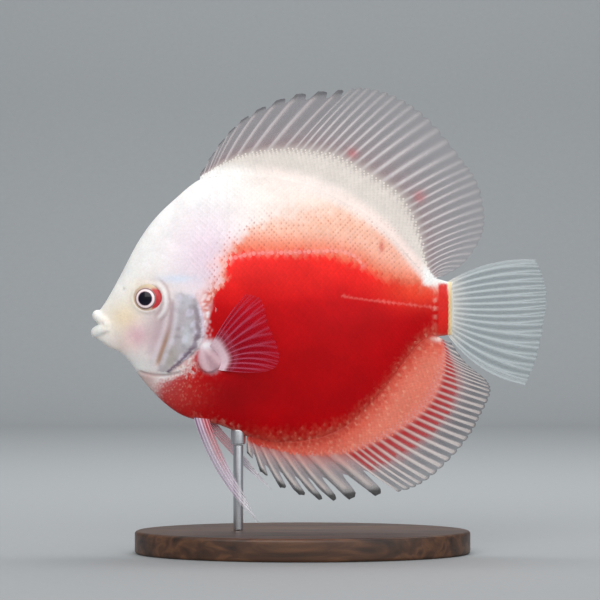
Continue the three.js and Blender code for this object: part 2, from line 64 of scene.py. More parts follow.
# Studio: the camera stands level with the fish, square to its left flank, a pale sweep of paper lies
# under the stand and rises behind it, and wide soft lamps shine from the front, above and behind
# and on the paper.
MILLIMETRE = 0.001
BEHIND_BASE, OVER_FLOOR = 6.0, 89.0  # middle of the fish towards the tail from the base's, and up
CAMERA_PLACE = (-6.9, -996.4, 0)
LIT_MIDDLE = (-5, 0, 0)
SWEEP_WIDTH, SWEEP_HEIGHT = 3.2, 2.2  # of the paper, in metres, as are the three below
SWEEP_FRONT, SWEEP_BACK = -1.4, 1.25
BEND_REACH = 0.25
stand_low, stand_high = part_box("stand_base")
FISH_PLACE = np.array([(stand_low.x + stand_high.x) / 2 / MILLIMETRE + BEHIND_BASE, 0.0, OVER_FLOOR])


def room(points):
    """Millimetres of the fish to metres of the room."""
    return (np.asarray(points, float) + FISH_PLACE) * MILLIMETRE


def linear(red, green, blue):
    """A colour given 0 to 255, in the linear values that light is worked out in."""
    shade = np.array([red, green, blue]) / 255
    low = shade / 12.92
    high = ((shade + 0.055) / 1.055) ** 2.4
    return np.where(shade <= 0.04045, low, high)


camera_data = bpy.data.cameras.new("camera")
camera_data.lens = 170
camera_data.sensor_width = 36
camera_data.clip_start = 0.01
camera = bpy.data.objects.new("camera", camera_data)
camera.location = room(CAMERA_PLACE)
camera.rotation_euler = (math.radians(90), 0, 0)
bpy.context.scene.collection.objects.link(camera)
bpy.context.scene.camera = camera

scene = bpy.context.scene
scene.view_settings.view_transform = "Standard"
scene.view_settings.look = "None"
scene.cycles.transparent_max_bounces = 24

air = bpy.data.worlds.new("studio_air")
air.use_nodes = True
air.node_tree.nodes["Background"].inputs["Color"].default_value = (0.8, 0.85, 0.92, 1)
air.node_tree.nodes["Background"].inputs["Strength"].default_value = 0.35
scene.world = air


def lamp(name, place, size, power, colour, aim=LIT_MIDDLE):
    """A wide soft lamp: place and aim in millimetres of the fish, size in metres, power in watts."""
    data = bpy.data.lights.new(name, "AREA")
    data.shape = "RECTANGLE"
    data.size, data.size_y = size
    data.energy = power
    data.color = colour
    made = bpy.data.objects.new(name, data)
    made.location = room(place)
    ahead = Vector(room(aim)) - made.location
    made.rotation_euler = ahead.to_track_quat("-Z", "Y").to_euler()
    scene.collection.objects.link(made)


lamp("key_lamp", (-170, -655, 360), (0.7, 0.5), 3.8, (1, 0.98, 0.96))
lamp("fill_lamp", (440, -600, 60), (0.7, 0.7), 1.9, (0.96, 0.98, 1))
lamp("top_lamp", (20, 0, 620), (0.7, 0.5), 1.1, (1, 1, 1))
lamp("back_lamp", (120, 250, 520), (0.5, 0.4), 1.3, (1, 1, 1))
lamp("wall_lamp", (0, 300, 800), (1.4, 0.4), 9.0, (0.97, 0.98, 1), (0, 1300, 60))


def node_material(name):
    """A new material, with its nodes, its links and its main shader."""
    made = bpy.data.materials.new(name)
    made.use_nodes = True
    tree = made.node_tree
    return made, tree.nodes, tree.links, tree.nodes["Principled BSDF"]


def mesh_object(name, places, faces, smooth=True):
    """A mesh from places in metres and faces, given as one array or a list."""
    data = bpy.data.meshes.new(name)
    faces = np.asarray(faces)
    data.vertices.add(len(places))
    data.vertices.foreach_set("co", np.asarray(places, np.float32).ravel())
    data.loops.add(faces.size)
    data.loops.foreach_set("vertex_index", faces.astype(np.int32).ravel())
    data.polygons.add(len(faces))
    corners = faces.shape[1]
    data.polygons.foreach_set("loop_start", np.arange(0, faces.size, corners, dtype=np.int32))
    data.polygons.foreach_set("use_smooth", np.full(len(faces), smooth))
    data.update(calc_edges=True)
    made = bpy.data.objects.new(name, data)
    scene.collection.objects.link(made)
    return made


def grid_faces(columns, rows, closed=False):
    """Four-sided faces over a grid of columns by rows of points, closed round the rows if asked."""
    across = np.arange(rows if closed else rows - 1)
    i, j = np.meshgrid(np.arange(columns - 1), across, indexing="ij")
    j1 = (j + 1) % rows
    corners = [i * rows + j, (i + 1) * rows + j, (i + 1) * rows + j1, i * rows + j1]
    return np.stack([c.ravel() for c in corners], 1)


bend = np.linspace(0, math.pi / 2, 24)
bend_y = SWEEP_BACK - BEND_REACH + BEND_REACH * np.sin(bend)
bend_z = BEND_REACH * (1 - np.cos(bend))
sweep_y = np.concatenate([[SWEEP_FRONT, -0.5, 0.0], bend_y, [SWEEP_BACK, SWEEP_BACK]])
sweep_z = np.concatenate([[0, 0, 0], bend_z, [1.2, SWEEP_HEIGHT]])
sweep_x = np.linspace(-SWEEP_WIDTH / 2, SWEEP_WIDTH / 2, 5)
sweep_places = [(x, y, z) for x in sweep_x for y, z in zip(sweep_y, sweep_z)]
sweep = mesh_object("paper_sweep", sweep_places, grid_faces(len(sweep_x), len(sweep_y))[:, ::-1])
paper, nodes, links, shader = node_material("sweep_paper")
shader.inputs["Roughness"].default_value = 0.9
shader.inputs["Specular IOR Level"].default_value = 0.2
fibre = nodes.new("ShaderNodeTexNoise")
fibre.inputs["Scale"].default_value = 900
tone = nodes.new("ShaderNodeValToRGB")
tone.color_ramp.elements[0].color = (0.33, 0.345, 0.35, 1)
tone.color_ramp.elements[1].color = (0.355, 0.37, 0.375, 1)
links.new(fibre.outputs["Fac"], tone.inputs["Fac"])
links.new(tone.outputs["Color"], shader.inputs["Base Color"])
sweep.data.materials.append(paper)
sweep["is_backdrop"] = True

# Skin: one seamless hide of soft flesh over head, trunk, tail stalk and gill covers. The body is
# lofted from its outlines, the lips, orbit rims and fin lobes are fused to it, and the finer forms
# are raised and pressed into it along the flank.
BACK = [
    (-77.5, -4), (-74.4, 0.7), (-70.5, 7.7), (-63.8, 20.4), (-58.2, 28.3), (-51.2, 35.2),
    (-42.4, 42.2), (-34, 44.2), (-20, 44), (-7, 41.5), (4, 37.8), (15, 31.5),
    (25, 23.4), (33, 14), (37.5, 9.2), (45.2, 6.3),
]
BELLY = [
    (-77.5, -14.2), (-73.7, -16.9), (-70.2, -18.3), (-66.3, -22.2), (-62.8, -27.4),
    (-56.1, -34.8), (-49.1, -40.1), (-42, -42.5), (-35, -44), (-25.8, -47.8), (-15, -50.5),
    (-3.3, -49.9), (8, -46), (19.5, -35.9), (28, -25.2), (34.5, -16.8), (38.5, -13.6),
    (45.2, -12.3),
]
HALF_BREADTH = [
    (-77.5, 3.3), (-73.7, 5), (-68.4, 7), (-61, 9), (-52.6, 11.2), (-42, 12.8), (-31.5, 13.4),
    (-21, 13.2), (-7, 12), (7.2, 10.2), (21.3, 7.8), (31.8, 5.6), (38.9, 4.2), (45.2, 3.2),
]
CREST = 0.8
SNOUT_X = -77.5
STALK_END_X = 45.2
EYE_X, EYE_Z = -60.0, 0.8
OPENING_X, OPENING_Z = 5.0, 4.3  # half sizes of the opening that the fleshy rim leaves over the eye
LIP_CORNER = (-73.4, 4.1)
UPPER_LIP = dict(front=-78.1, z=-5.4, corner_z=-8.0, radius=2.0)
LOWER_LIP = dict(front=-78.4, z=-11.4, corner_z=-9.6, radius=2.1)
GAPE_Z = -8.5
MOUTH_FILLS = [((-76.6, 0, GAPE_Z), (2.2, 4.8, 2.5)), ((-74.6, 0, GAPE_Z - 0.2), (2.7, 5.7, 2.2))]
NOSTRIL_X, NOSTRIL_Z = -68.7, 3.9
LOBE_X, LOBE_Z = -37.9, -19.6  # fleshy root of the pectoral fin
LOBE_RADII, LOBE_TILT = (4.4, 0.8, 5.8), 0.35
LOBE_REACH_X, LOBE_REACH_Z = 4.6, 6
COVER_FRONT = [(-50.8, 3.2), (-52, -6), (-55, -16.5), (-57, -24.3)]
COVER_REAR = [(-43.4, 2.2), (-40.4, -7), (-41.6, -15.8), (-51.9, -24.8)]
RIM_BREADTH, RIM_HEIGHT = 0.7, 0.6
SKIN_VOXEL = 0.4
EYE_BOWL = 4.2  # how deep the skin is pressed in for the eyeball
GAPE_DEPTH = 0.8


def step(value, start, end):
    """0 before start, 1 after end, and smooth between them."""
    t = np.clip((value - start) / (end - start), 0, 1)
    return t * t * (3 - 2 * t)


def mix(a, b, t):
    return a + (b - a) * t


def through(points):
    """A smooth function of x through (x, value) points."""
    xs, values = np.array(points, float).T
    before = np.maximum(np.arange(len(xs)) - 1, 0)
    after = np.minimum(np.arange(len(xs)) + 1, len(xs) - 1)
    slopes = (values[after] - values[before]) / (xs[after] - xs[before])

    def value_at(x):
        x = np.clip(x, xs[0], xs[-1])
        i = np.clip(np.searchsorted(xs, x, side="right") - 1, 0, len(xs) - 2)
        width = xs[i + 1] - xs[i]
        t = (x - xs[i]) / width
        flat = mix(values[i], values[i + 1], t * t * (3 - 2 * t))
        return flat + width * (slopes[i] * t * (1 - t) ** 2 - slopes[i + 1] * t * t * (1 - t))

    return value_at


def curve(points, place):
    """Points of a smooth curve through points, at places counted in points from the first."""
    points = np.array(points, float)
    place = np.clip(np.asarray(place, float), 0, len(points) - 1)
    i = np.minimum(place.astype(int), len(points) - 2)
    t = (place - i)[..., None]
    p0, p1 = points[np.maximum(i - 1, 0)], points[i]
    p2, p3 = points[i + 1], points[np.minimum(i + 2, len(points) - 1)]
    v0, v1 = (p2 - p0) / 2, (p3 - p1) / 2
    return (2 * p1 - 2 * p2 + v0 + v1) * t**3 + (3 * p2 - 3 * p1 - 2 * v0 - v1) * t**2 + v0 * t + p1


back_z, belly_z, half_breadth = through(BACK), through(BELLY), through(HALF_BREADTH)


def breadth_at(x, v):
    """Half breadth of the body at x, v of the way from mid-depth to the back or the belly."""
    rounding = mix(0.5, 0.7, step(x, -70, -45))
    return CREST + (half_breadth(x) - CREST) * np.maximum(0, 1 - v * v) ** rounding


def flank_y(x, z):
    """Half breadth of the body at x, z of the side view."""
    top, bottom = back_z(x), belly_z(x)
    return breadth_at(x, np.clip((2 * z - top - bottom) / (top - bottom), -1, 1))


def flank_frame(side, x, z):
    """The point of the flank at x, z and the direction that faces out there."""
    out = Vector((
        (flank_y(x - 1, z) - flank_y(x + 1, z)) / 2,
        side,
        (flank_y(x, z - 1) - flank_y(x, z + 1)) / 2,
    )).normalized()
    return Vector((x, side * float(flank_y(x, z)), z)), out


def tube_rings(centres, radii):
    """Rings of points round a path of centres, as one closed grid with pinched ends."""
    centres = np.asarray(centres, float)
    ahead = np.gradient(centres, axis=0)
    ahead /= np.linalg.norm(ahead, axis=1)[:, None]
    first = np.cross(ahead, (0, 0, 1))
    first /= np.linalg.norm(first, axis=1)[:, None]
    second = np.cross(ahead, first)
    turn = np.linspace(0, 2 * math.pi, 20, endpoint=False)
    ring = first[:, None] * np.cos(turn)[:, None] + second[:, None] * np.sin(turn)[:, None]
    return centres[:, None] + ring * np.asarray(radii)[:, None, None]


def closed_grid(rings):
    """Places and triangles of a closed body through rings of points."""
    count, around = rings.shape[:2]
    places = np.concatenate([rings.reshape(-1, 3), rings[0].mean(0)[None], rings[-1].mean(0)[None]])
    quads = grid_faces(count, around, closed=True)
    faces = np.concatenate([quads[:, [0, 1, 2]], quads[:, [0, 2, 3]]])
    k = np.arange(around)
    k1 = (k + 1) % around
    last = (count - 1) * around
    first_cap = np.stack([np.full(around, len(places) - 2), k, k1], 1)
    last_cap = np.stack([np.full(around, len(places) - 1), last + k1, last + k], 1)
    return places, np.concatenate([faces, first_cap, last_cap])


def body_rings():
    """The body as upright rings from snout to tail stalk, drawn in over both ends."""
    rings = []
    v = np.cos(np.linspace(0, math.pi, 60))
    for x in mix(SNOUT_X, STALK_END_X, np.linspace(0, 1, 170) ** 1.1):
        middle, half = (back_z(x) + belly_z(x)) / 2, (back_z(x) - belly_z(x)) / 2
        y = breadth_at(x, v)
        side = np.stack([np.full_like(v, x), y, middle + half * v], 1)
        rings.append(np.concatenate([side, side[::-1] * (1, -1, 1)]))
    snout = []
    for reach in (1.0, 0.8, 0.45):
        core = rings[0].mean(0)
        shrunk = core + (rings[0] - core) * (1 - 0.45 * reach**2)
        snout.append(shrunk - (0.9 * math.sin(reach * math.pi / 2), 0, 0))
    tail = []
    for reach, thick in ((1.0, 0.8), (1.9, 0.5), (2.5, 0.2)):
        core = rings[-1].mean(0)
        tail.append(core + (rings[-1] - core) * (1, thick, 1 + 0.02 * reach) + (reach, 0, 0))
    return np.array(snout + rings + tail)


def ball_rings(centre, radii, tilt=0.0):
    """An ellipsoid as rings, turned by tilt about the line across the fish."""
    turn = np.linspace(0, 2 * math.pi, 28, endpoint=False)
    rings = []
    for lift in np.linspace(-0.5, 0.5, 17) * math.pi * 0.995:
        ring = np.stack([
            radii[0] * math.cos(lift) * np.cos(turn),
            radii[1] * math.cos(lift) * np.sin(turn),
            np.full_like(turn, radii[2] * math.sin(lift)),
        ], 1)
        c, s = math.cos(tilt), math.sin(tilt)
        rings.append(ring @ np.array([[c, 0, -s], [0, 1, 0], [s, 0, c]]) + centre)
    return np.array(rings)


def lip_rings(front, z, corner_z, radius):
    """One lip, a tube from corner to corner of the mouth, slimmer towards them."""
    corner_x, corner_y = LIP_CORNER
    path = [
        (corner_x, -corner_y, corner_z),
        (mix(corner_x, front, 0.6), -0.72 * corner_y, mix(corner_z, z, 0.4)),
        (front, 0, z),
        (mix(corner_x, front, 0.6), 0.72 * corner_y, mix(corner_z, z, 0.4)),
        (corner_x, corner_y, corner_z),
    ]
    place = np.linspace(0, 4, 33)
    thick = radius * (1 - 0.35 * np.abs(place / 2 - 1) ** 3)
    return tube_rings(curve(path, place), thick)


def orbit_rings(side):
    """The fleshy rim round the eye, an oval ring lying on the flank."""
    at, out = (np.array(v) for v in flank_frame(side, EYE_X, EYE_Z))
    ahead = np.array([1, 0, 0]) - out * out[0]
    ahead /= np.linalg.norm(ahead)
    up = np.cross(ahead, out) * side
    rings = []
    turn = np.linspace(0, 2 * math.pi, 12, endpoint=False)[:, None]
    for a in np.linspace(0, 2 * math.pi, 61):
        centre = ahead * (OPENING_X + 0.5) * math.cos(a) + up * (OPENING_Z + 0.5) * math.sin(a)
        outwards = ahead * math.cos(a) + up * math.sin(a)
        section = RIM_BREADTH * np.cos(turn) * outwards + RIM_HEIGHT * np.sin(turn) * out
        rings.append(at + centre - 0.15 * out + section)
    return np.array(rings)


def skin_parts():
    """The closed bodies that are fused to the skin."""
    yield closed_grid(body_rings())
    yield closed_grid(lip_rings(**UPPER_LIP))
    yield closed_grid(lip_rings(**LOWER_LIP))
    for centre, radii in MOUTH_FILLS:
        yield closed_grid(ball_rings(centre, radii))
    for side in (-1, 1):
        yield closed_grid(orbit_rings(side))
        lobe = (LOBE_X, side * (float(flank_y(LOBE_X, LOBE_Z)) - 0.2), LOBE_Z)
        yield closed_grid(ball_rings(lobe, LOBE_RADII, LOBE_TILT))


skin_places, skin_faces, skin_count = [], [], 0
for places, faces in skin_parts():
    skin_places.append(room(places))
    skin_faces.append(faces + skin_count)
    skin_count += len(places)
raw_skin = mesh_object("raw_skin", np.concatenate(skin_places), np.concatenate(skin_faces))
fuse = raw_skin.modifiers.new("fuse", "REMESH")
fuse.mode = "VOXEL"
fuse.voxel_size = SKIN_VOXEL * MILLIMETRE
soften = raw_skin.modifiers.new("soften", "SMOOTH")
soften.factor = 0.5
soften.iterations = 6
fused = raw_skin.evaluated_get(bpy.context.evaluated_depsgraph_get()).to_mesh()
skin_at = np.zeros(len(fused.vertices) * 3)
fused.vertices.foreach_get("co", skin_at)
skin_at = skin_at.reshape(-1, 3) / MILLIMETRE - FISH_PLACE
skin_out = np.zeros(len(fused.vertices) * 3)
fused.vertices.foreach_get("normal", skin_out)
skin_out = skin_out.reshape(-1, 3)
quads = np.array([p.vertices[:] for p in fused.polygons])
raw_skin.to_mesh_clear()
bpy.data.objects.remove(raw_skin)


# Markings of the hide, as shades laid one over the other: white head, lilac shoulder, orange back,
# red flank, and the lines and spots of cheek, gill cover, lateral line and tail stalk.
PREOPERCLE = [(-51.5, 1), (-51.6, -4), (-52.6, -10.5), (-55, -17.6), (-57.1, -23.6)]
CHEEK_FOLD = [(-53.5, 3), (-54.8, -6), (-57.5, -14), (-60.5, -20)]
THROAT_LINE = [(-64.5, -24.6), (-60, -26), (-54, -26.3), (-47.3, -25)]
ORBIT_LINE = [(-57.8, 7), (-54.6, 4), (-53.6, 0), (-54.4, -4), (-57.2, -7.2)]
LATERAL_LINE = [
    (-30.8, 14.4), (-22.7, 16.2), (-11.1, 16.5), (-1.9, 16.9), (5.8, 17.1), (11.8, 15.5), (14.9, 12.3),
]
LATERAL_STEP = 3.2
REAR_LINE = [(7.6, 1.4), (15, 0.2), (23, -0.7), (32, -1.7), (43.5, -3)]
RED_FRONT = through([
    (-47, -66), (-36, -62), (-29, -57), (-25.3, -49), (-18.3, -43.5), (-12.3, -40.2), (-6, -39.2),
    (0.7, -37.3), (7.7, -32.9), (14, -31.8), (17.6, -30.2), (22, -27), (30, -16),
])
RED_TOP = through([
    (-45, 11), (-31, 15.5), (-26.2, 16.5), (-6.9, 16), (3.7, 15), (14.2, 12), (21.3, 8),
    (28.3, 5.6), (36, 3.8), (41, 2.6),
])
ORANGE_TOP = through([
    (-40, 20), (-29.7, 24), (-21, 27.4), (-6.9, 30.4), (7.2, 31), (21.3, 27.4), (31.8, 19.6),
    (38.9, 10.5),
])
WHITE = linear(246, 246, 243)
SHOULDER = linear(238, 214, 230)
BACK_CREAM = linear(250, 234, 226)
PEACH = linear(252, 218, 198)
ORANGE_PALE = linear(248, 172, 136)
ORANGE = linear(242, 112, 76)
SCARLET = linear(248, 36, 30)
RED = linear(206, 2, 12)
CRIMSON = linear(176, 0, 8)
# Painted shadow: the maroon of the flank below the pectoral fin, where the fin shades it.
PECTORAL_SHADOW_MAROON = linear(128, 6, 14)
SALMON = linear(228, 108, 88)
# Soft clouds of colour: shade, weight, middle along x and z, reach along x and z.
HEAD_CLOUDS = [
    ((190, 170, 160), 0.5, NOSTRIL_X, NOSTRIL_Z, 0.5, 0.5), ((238, 214, 172), 0.75, -68.0, -6.3, 7, 6.5),
    ((222, 190, 150), 0.55, -60.5, 3.8, 5.8, 4), ((226, 176, 190), 0.8, -63.5, -12.5, 4.6, 4.4),
    ((198, 168, 174), 0.85, -55.5, -12, 6.5, 14),
]
CHIN_CLOUD = ((232, 190, 178), 0.4, -69, -16, 6, 4)
TEMPLE_CLOUD = ((222, 230, 246), 0.8, -50, 7.4, 6.5, 1.5)
BACK_SPOT = ((206, 66, 60), 0.7, 21.5, 18.5, 0.9, 2.0)
# A painted highlight: near-white cloud on the upper front of the pectoral lobe.
LOBE_PAINTED_HIGHLIGHT = ((250, 246, 248), 0.95, -39.6, -15.6, 2.6, 1.6)
STALK_FOOT = ((250, 230, 222), 0.9, 41.8, -13.7, 2.2, 0.9)


def ripple(x, z, size, seed):
    """A soft uneven wave over the side view, about -1 to 1, with bumps of the given size."""
    total = np.zeros(np.shape(x))
    for n in range(6):
        turn = 2.4 * n + 0.7 * seed
        reach = (1 + 0.37 * n) / size
        phase = 1.9 * seed + 2.3 * n
        warp = 1.3 * np.sin((z * math.cos(turn) - x * math.sin(turn)) * 0.61 * reach + 2 * phase)
        total += np.sin((x * math.cos(turn) + z * math.sin(turn)) * reach * 2.2 + phase + warp)
    return total / 4


def patch(x, z, centre_x, centre_z, reach_x, reach_z):
    """1 in the middle of an oval cloud, fading to 0 past its reach."""
    return np.exp(-(((x - centre_x) / reach_x) ** 2) - ((z - centre_z) / reach_z) ** 2)


def layers(tint):
    """Lays shades one over the other on a tint, each by its own weight."""
    def lay(shade, weight):
        tint[:] = mix(tint, shade, np.clip(weight, 0, 1)[..., None])
    return lay


def lay_clouds(lay, x, z, clouds):
    for shade, weight, *oval in clouds:
        lay(linear(*shade), weight * patch(x, z, *oval))


def distance_to(line, x, z, ends=True):
    """Distance in the side view from a smooth line, and a fade over its ends or the place along it."""
    points = curve(line, np.linspace(0, len(line) - 1, 80))
    lengths = np.concatenate([[0], np.cumsum(np.hypot(*np.diff(points, axis=0).T))])
    best, along = np.full(np.shape(x), np.inf), np.zeros(np.shape(x))
    for (line_x, line_z), length in zip(points, lengths):
        away = np.hypot(x - line_x, z - line_z)
        nearer = away < best
        best[nearer], along[nearer] = away[nearer], length
    return best, step(np.minimum(along, lengths[-1] - along), 0, 2.5) if ends else along


def cover_place(x, z):
    """How far down the gill cover, and how far from its front edge to its rear, a point lies."""
    rows = np.linspace(0, 3, 61)
    fronts, rears = curve(COVER_FRONT, rows), curve(COVER_REAR, rows)
    best = np.full(np.shape(x), np.inf)
    down, back = np.full(np.shape(x), -1.0), np.full(np.shape(x), -1.0)
    for n, (a, b) in enumerate(zip(fronts, rears)):
        along = b - a
        length = np.hypot(*along)
        t = ((x - a[0]) * along[0] + (z - a[1]) * along[1]) / length**2
        off = np.abs((x - a[0]) * along[1] - (z - a[1]) * along[0]) / length
        nearer = off < best
        best[nearer], down[nearer], back[nearer] = off[nearer], n / 60, t[nearer]
    inside = best < 0.5
    return np.where(inside, down, -1), np.where(inside, back, -1)


def shoulder_marks(lay, x, z, fine):
    """Lilac shoulder with faint streaks, cream back and peach under the dorsal fin."""
    streak = np.sin(z * 4.2 + 0.8 * ripple(x, z, 7, 4))
    lay(SHOULDER, 0.9 * patch(x, z, -38, 14, 15, 17))
    lay(linear(226, 206, 222), 0.3 * step(streak, 0.3, 1) * patch(x, z, -36, 16, 12, 14))
    lay(BACK_CREAM, step(x, -40, -10) * step(z, 5, 25))
    lay(PEACH, 0.8 * patch(x, z, 12, 33, 17, 6) + 0.5 * patch(x, z, 27, 22, 8, 6) + 0.12 * fine)


def flank_marks(lay, x, z, grain, fine):
    """Orange back and red flank, darker in the middle and grizzled at the chest."""
    wave = ripple(x, z, 4, 2)
    behind_front = x - RED_FRONT(z)
    blush = step(behind_front + 1.5 * wave, -9, -1) * step(z, -6, 2) * step(z, 26, 15)
    lay(linear(250, 206, 204), 0.8 * blush)
    in_front = behind_front + 0.9 * wave + grain * mix(1.0, 1.8, step(z, -4, -14))
    below_orange = ORANGE_TOP(x) - z + 1.2 * wave + grain
    orange = step(below_orange, -5, 6) * step(in_front, -3.5, 2.5) * step(z, -2, 4)
    lay(ORANGE_PALE, 0.82 * orange * (0.85 + 0.15 * fine))
    lay(ORANGE, 0.85 * step(z - RED_TOP(x), 9.5, 0.5) * orange)

    below_top = RED_TOP(x) - z + 0.5 * wave + grain * 0.9
    chest = step(z, -18, -25)
    grizzle = 2.2 * ripple(x, z, 0.8, 8) + 1.5 * grain
    past_front = step(in_front + chest * grizzle, -0.6 - 2.5 * chest, 1.0 + 6 * chest)
    red = step(below_top, -2.8, 2.2) * past_front
    # The red deepens downwards and in the lower middle: partly its own deeper red, partly painted shade
    # of the lower body, which gets less light.
    depth = 0.62 * step(-z, -17, 12) + 0.25 * patch(x, z, -2, -24, 26, 26) + 0.12 * ripple(x, z, 14, 3)
    inner = mix(SCARLET, RED, np.clip(2 * depth, 0, 1)[..., None])
    lay(mix(inner, CRIMSON, np.clip(2 * depth - 0.85, 0, 1)[..., None]), red)
    lay(linear(244, 84, 50), 0.7 * red * patch(x, z, 35, 5, 11, 6) + 0.3 * red * step(z, 13, 20))
    # Painted shadow of the pectoral fin, laid maroon over the red below it.
    lay(PECTORAL_SHADOW_MAROON, 0.6 * red * patch(x, z, -31, -33, 12, 9))
    lay(linear(190, 52, 46), 0.75 * red * patch(x, z, -50, -33, 9, 7))
    spots = step(ripple(x, z, 0.9, 8) + 0.4 * grain, 0.35, 0.75)
    lay(linear(222, 160, 138), 0.5 * spots * red * patch(x, z, -50, -30, 8, 6))
    smear = step(ripple(x, z, 1.5, 3) + 0.4 * grain, -0.5, 0.4) * step(z, -28, -18) * step(z, 12, 2)
    lay(linear(206, 92, 70), 0.85 * smear * step(in_front, -6, -0.5) * (1 - red))


def edge_marks(lay, x, z, grain, fine):
    """Salmon over the anal fin's sheath, and pale over the ridge of the back and the dorsal's."""
    hind = step(x, -30, -12)
    edge = belly_z(x) - z + 1.4 * fine + 1.2 * grain
    lay(SALMON, 0.85 * step(edge, -7, 4) * hind)
    lay(linear(230, 136, 114), 0.65 * step(edge, 1, 10) * hind)
    lay(linear(240, 190, 160), 0.35 * step(fine, 0.4, 0.9) * step(edge, -5, 1) * hind)
    keel = step(x, -20, -30) * step(x, -48, -40)
    lay(linear(224, 150, 134), 0.4 * step(edge, -2.5, -0.5) * keel)
    past_back = z - back_z(x)
    lay(linear(248, 234, 228), 0.8 * step(past_back, -5.5, -1.5) * step(x, -30, 0))
    lay(linear(226, 218, 210), step(past_back, 0.3, 5))
    lay_clouds(lay, x, z, [BACK_SPOT])


def line_marks(lay, x, z):
    """Pored lateral line, and the thin pale line along the rear of the flank."""
    from_line, along = distance_to(LATERAL_LINE, x, z, ends=False)
    beat = np.cos(along * 2 * math.pi / LATERAL_STEP)
    pores = np.exp(-((from_line / 1.3) ** 2)) * step(beat, -0.3, 0.9)
    lay(linear(250, 168, 166), 0.4 * pores + 0.12 * np.exp(-((from_line / 0.6) ** 2)))
    from_rear, _ = distance_to(REAR_LINE, x, z)
    lay(linear(244, 120, 112), 0.6 * step(from_rear, 0.5, 0.15))


def cover_marks(lay, x, z, fine):
    """Clouded grey and lilac gill cover with a ragged purple edge and a pale skirt behind it."""
    down, back = cover_place(x, z)
    on_cover = (back > -0.06) & (back < 1.02)
    cover = on_cover * step(back, -0.1, 0.3) * step(down, -0.02, 0.1)
    lay(linear(178, 170, 176), 0.9 * cover)
    lay(linear(208, 210, 220), 0.55 * cover * patch(down, back, 0.12, 0.45, 0.12, 0.5))
    lay(linear(214, 208, 222), 0.75 * cover * step(ripple(x, z, 3.4, 4), 0.0, 0.7))
    lay(linear(134, 122, 132), 0.4 * cover * step(ripple(x, z, 2.9, 7), 0.1, 0.9))
    # A painted highlight: pale blue-white spot low on the rear of the gill cover.
    lay(linear(210, 218, 224), 0.5 * cover * patch(x, z, -46.2, -12.5, 1.8, 4))
    lay(linear(176, 168, 156), 0.7 * cover * patch(x, z, -52, -20, 3, 4))
    ragged = back + 0.04 * ripple(x, z, 3.1, 9) + 0.03 * ripple(x, z, 0.9, 3)
    # A ragged purple band inside the cover's rear edge, darker low down: painted shade along the lifted
    # edge, tinted purple.
    purple = step(ragged, 0.68, 0.82) * step(ragged, 0.96, 0.88) * step(down, 0.08, 0.25) * on_cover
    lay(linear(100, 76, 98), 0.8 * purple * mix(0.55, 1, step(down, 0.4, 0.7)))
    rim = step(ragged, 0.9, 1.0) * step(down, 0.1, 0.2) * step(down, 0.75, 0.5) * on_cover
    lay(linear(232, 220, 236), 0.8 * rim)
    skirt = (back > 1.0) & (back < 1.5)
    lay(linear(226, 190, 196), 0.7 * skirt * step(back + 0.12 * fine, 1.2, 1.02))


def face_marks(lay, x, z):
    """Dusky and tan folds of cheek, throat and orbit."""
    groove, groove_end = distance_to(PREOPERCLE, x, z)
    # The preopercle groove is painted darker, mauve-grey above and tan below: partly the skin's own
    # tint, partly painted shade in the groove.
    tan = mix(linear(176, 150, 158), linear(160, 116, 78), step(z, -6, -16)[..., None])
    lay(tan, 0.7 * step(groove, 1.3, 0.2) * groove_end)
    lay(linear(224, 216, 222), 0.5 * np.exp(-(((groove - 1.9) / 0.8) ** 2)) * groove_end)
    fold, fold_end = distance_to(CHEEK_FOLD, x, z)
    lay(linear(182, 160, 170), 0.3 * np.exp(-((fold / 1.4) ** 2)) * fold_end)
    throat, throat_end = distance_to(THROAT_LINE, x, z)
    lay(linear(150, 118, 120), 0.6 * step(throat, 0.8, 0.1) * throat_end)
    lay_clouds(lay, x, z, [TEMPLE_CLOUD])
    brow, brow_end = distance_to(ORBIT_LINE, x, z)
    lay(linear(250, 248, 246), 0.6 * step(brow, 0.8, 0.2) * brow_end)
    lay(linear(160, 128, 124), 0.4 * np.exp(-(((brow - 1.4) / 0.45) ** 2)) * (x > -60) * brow_end)
    lay(linear(210, 176, 172), 0.8 * step(x, -54, -60) * step(z, -24, -27))
    lay_clouds(lay, x, z, [CHIN_CLOUD])


def stalk_marks(lay, x, z):
    """White top, red bar and cream edge of the tail stalk."""
    above_back = step(z - back_z(x), 3, 1)
    lay(WHITE, 0.95 * step(x, 35, 37.5) * step(z - 5.6, -1.2, 0.4) * above_back)
    lay(linear(240, 160, 144), 0.7 * patch(x, z, 40.3, -2, 0.7, 6) * step(np.cos(z * 2.1), -0.4, 0.5))
    bar = step(np.abs(x - 43.1), 1.9, 1.3) * step(z, -12.6, -11.2) * step(z, 6.4, 5.2)
    lay(linear(222, 40, 34), 0.95 * bar)
    lay(linear(244, 220, 168), 0.9 * step(x, 44.9, 45.3))
    lay(linear(238, 238, 236), step(x, 46, 46.8))


def from_lobe(x, z):
    """Distance from the middle of the pectoral lobe, 1 at its edge."""
    return np.hypot((x - LOBE_X) / LOBE_REACH_X, (z - LOBE_Z) / LOBE_REACH_Z)


def lobe_marks(lay, x, z, fine):
    """Mauve lobe of the pectoral fin, with strands where the rays leave it."""
    on_lobe = step(from_lobe(x, z), 1.2, 0.75)
    lay(linear(214, 184, 192), 0.95 * on_lobe)
    strands = 0.5 + 0.5 * np.sin(11 * np.arctan2(z + 15, x + 42) + 0.5 * fine)
    lay(linear(164, 122, 132), 0.6 * on_lobe * strands * step(x - 0.5 * z, -33, -28))


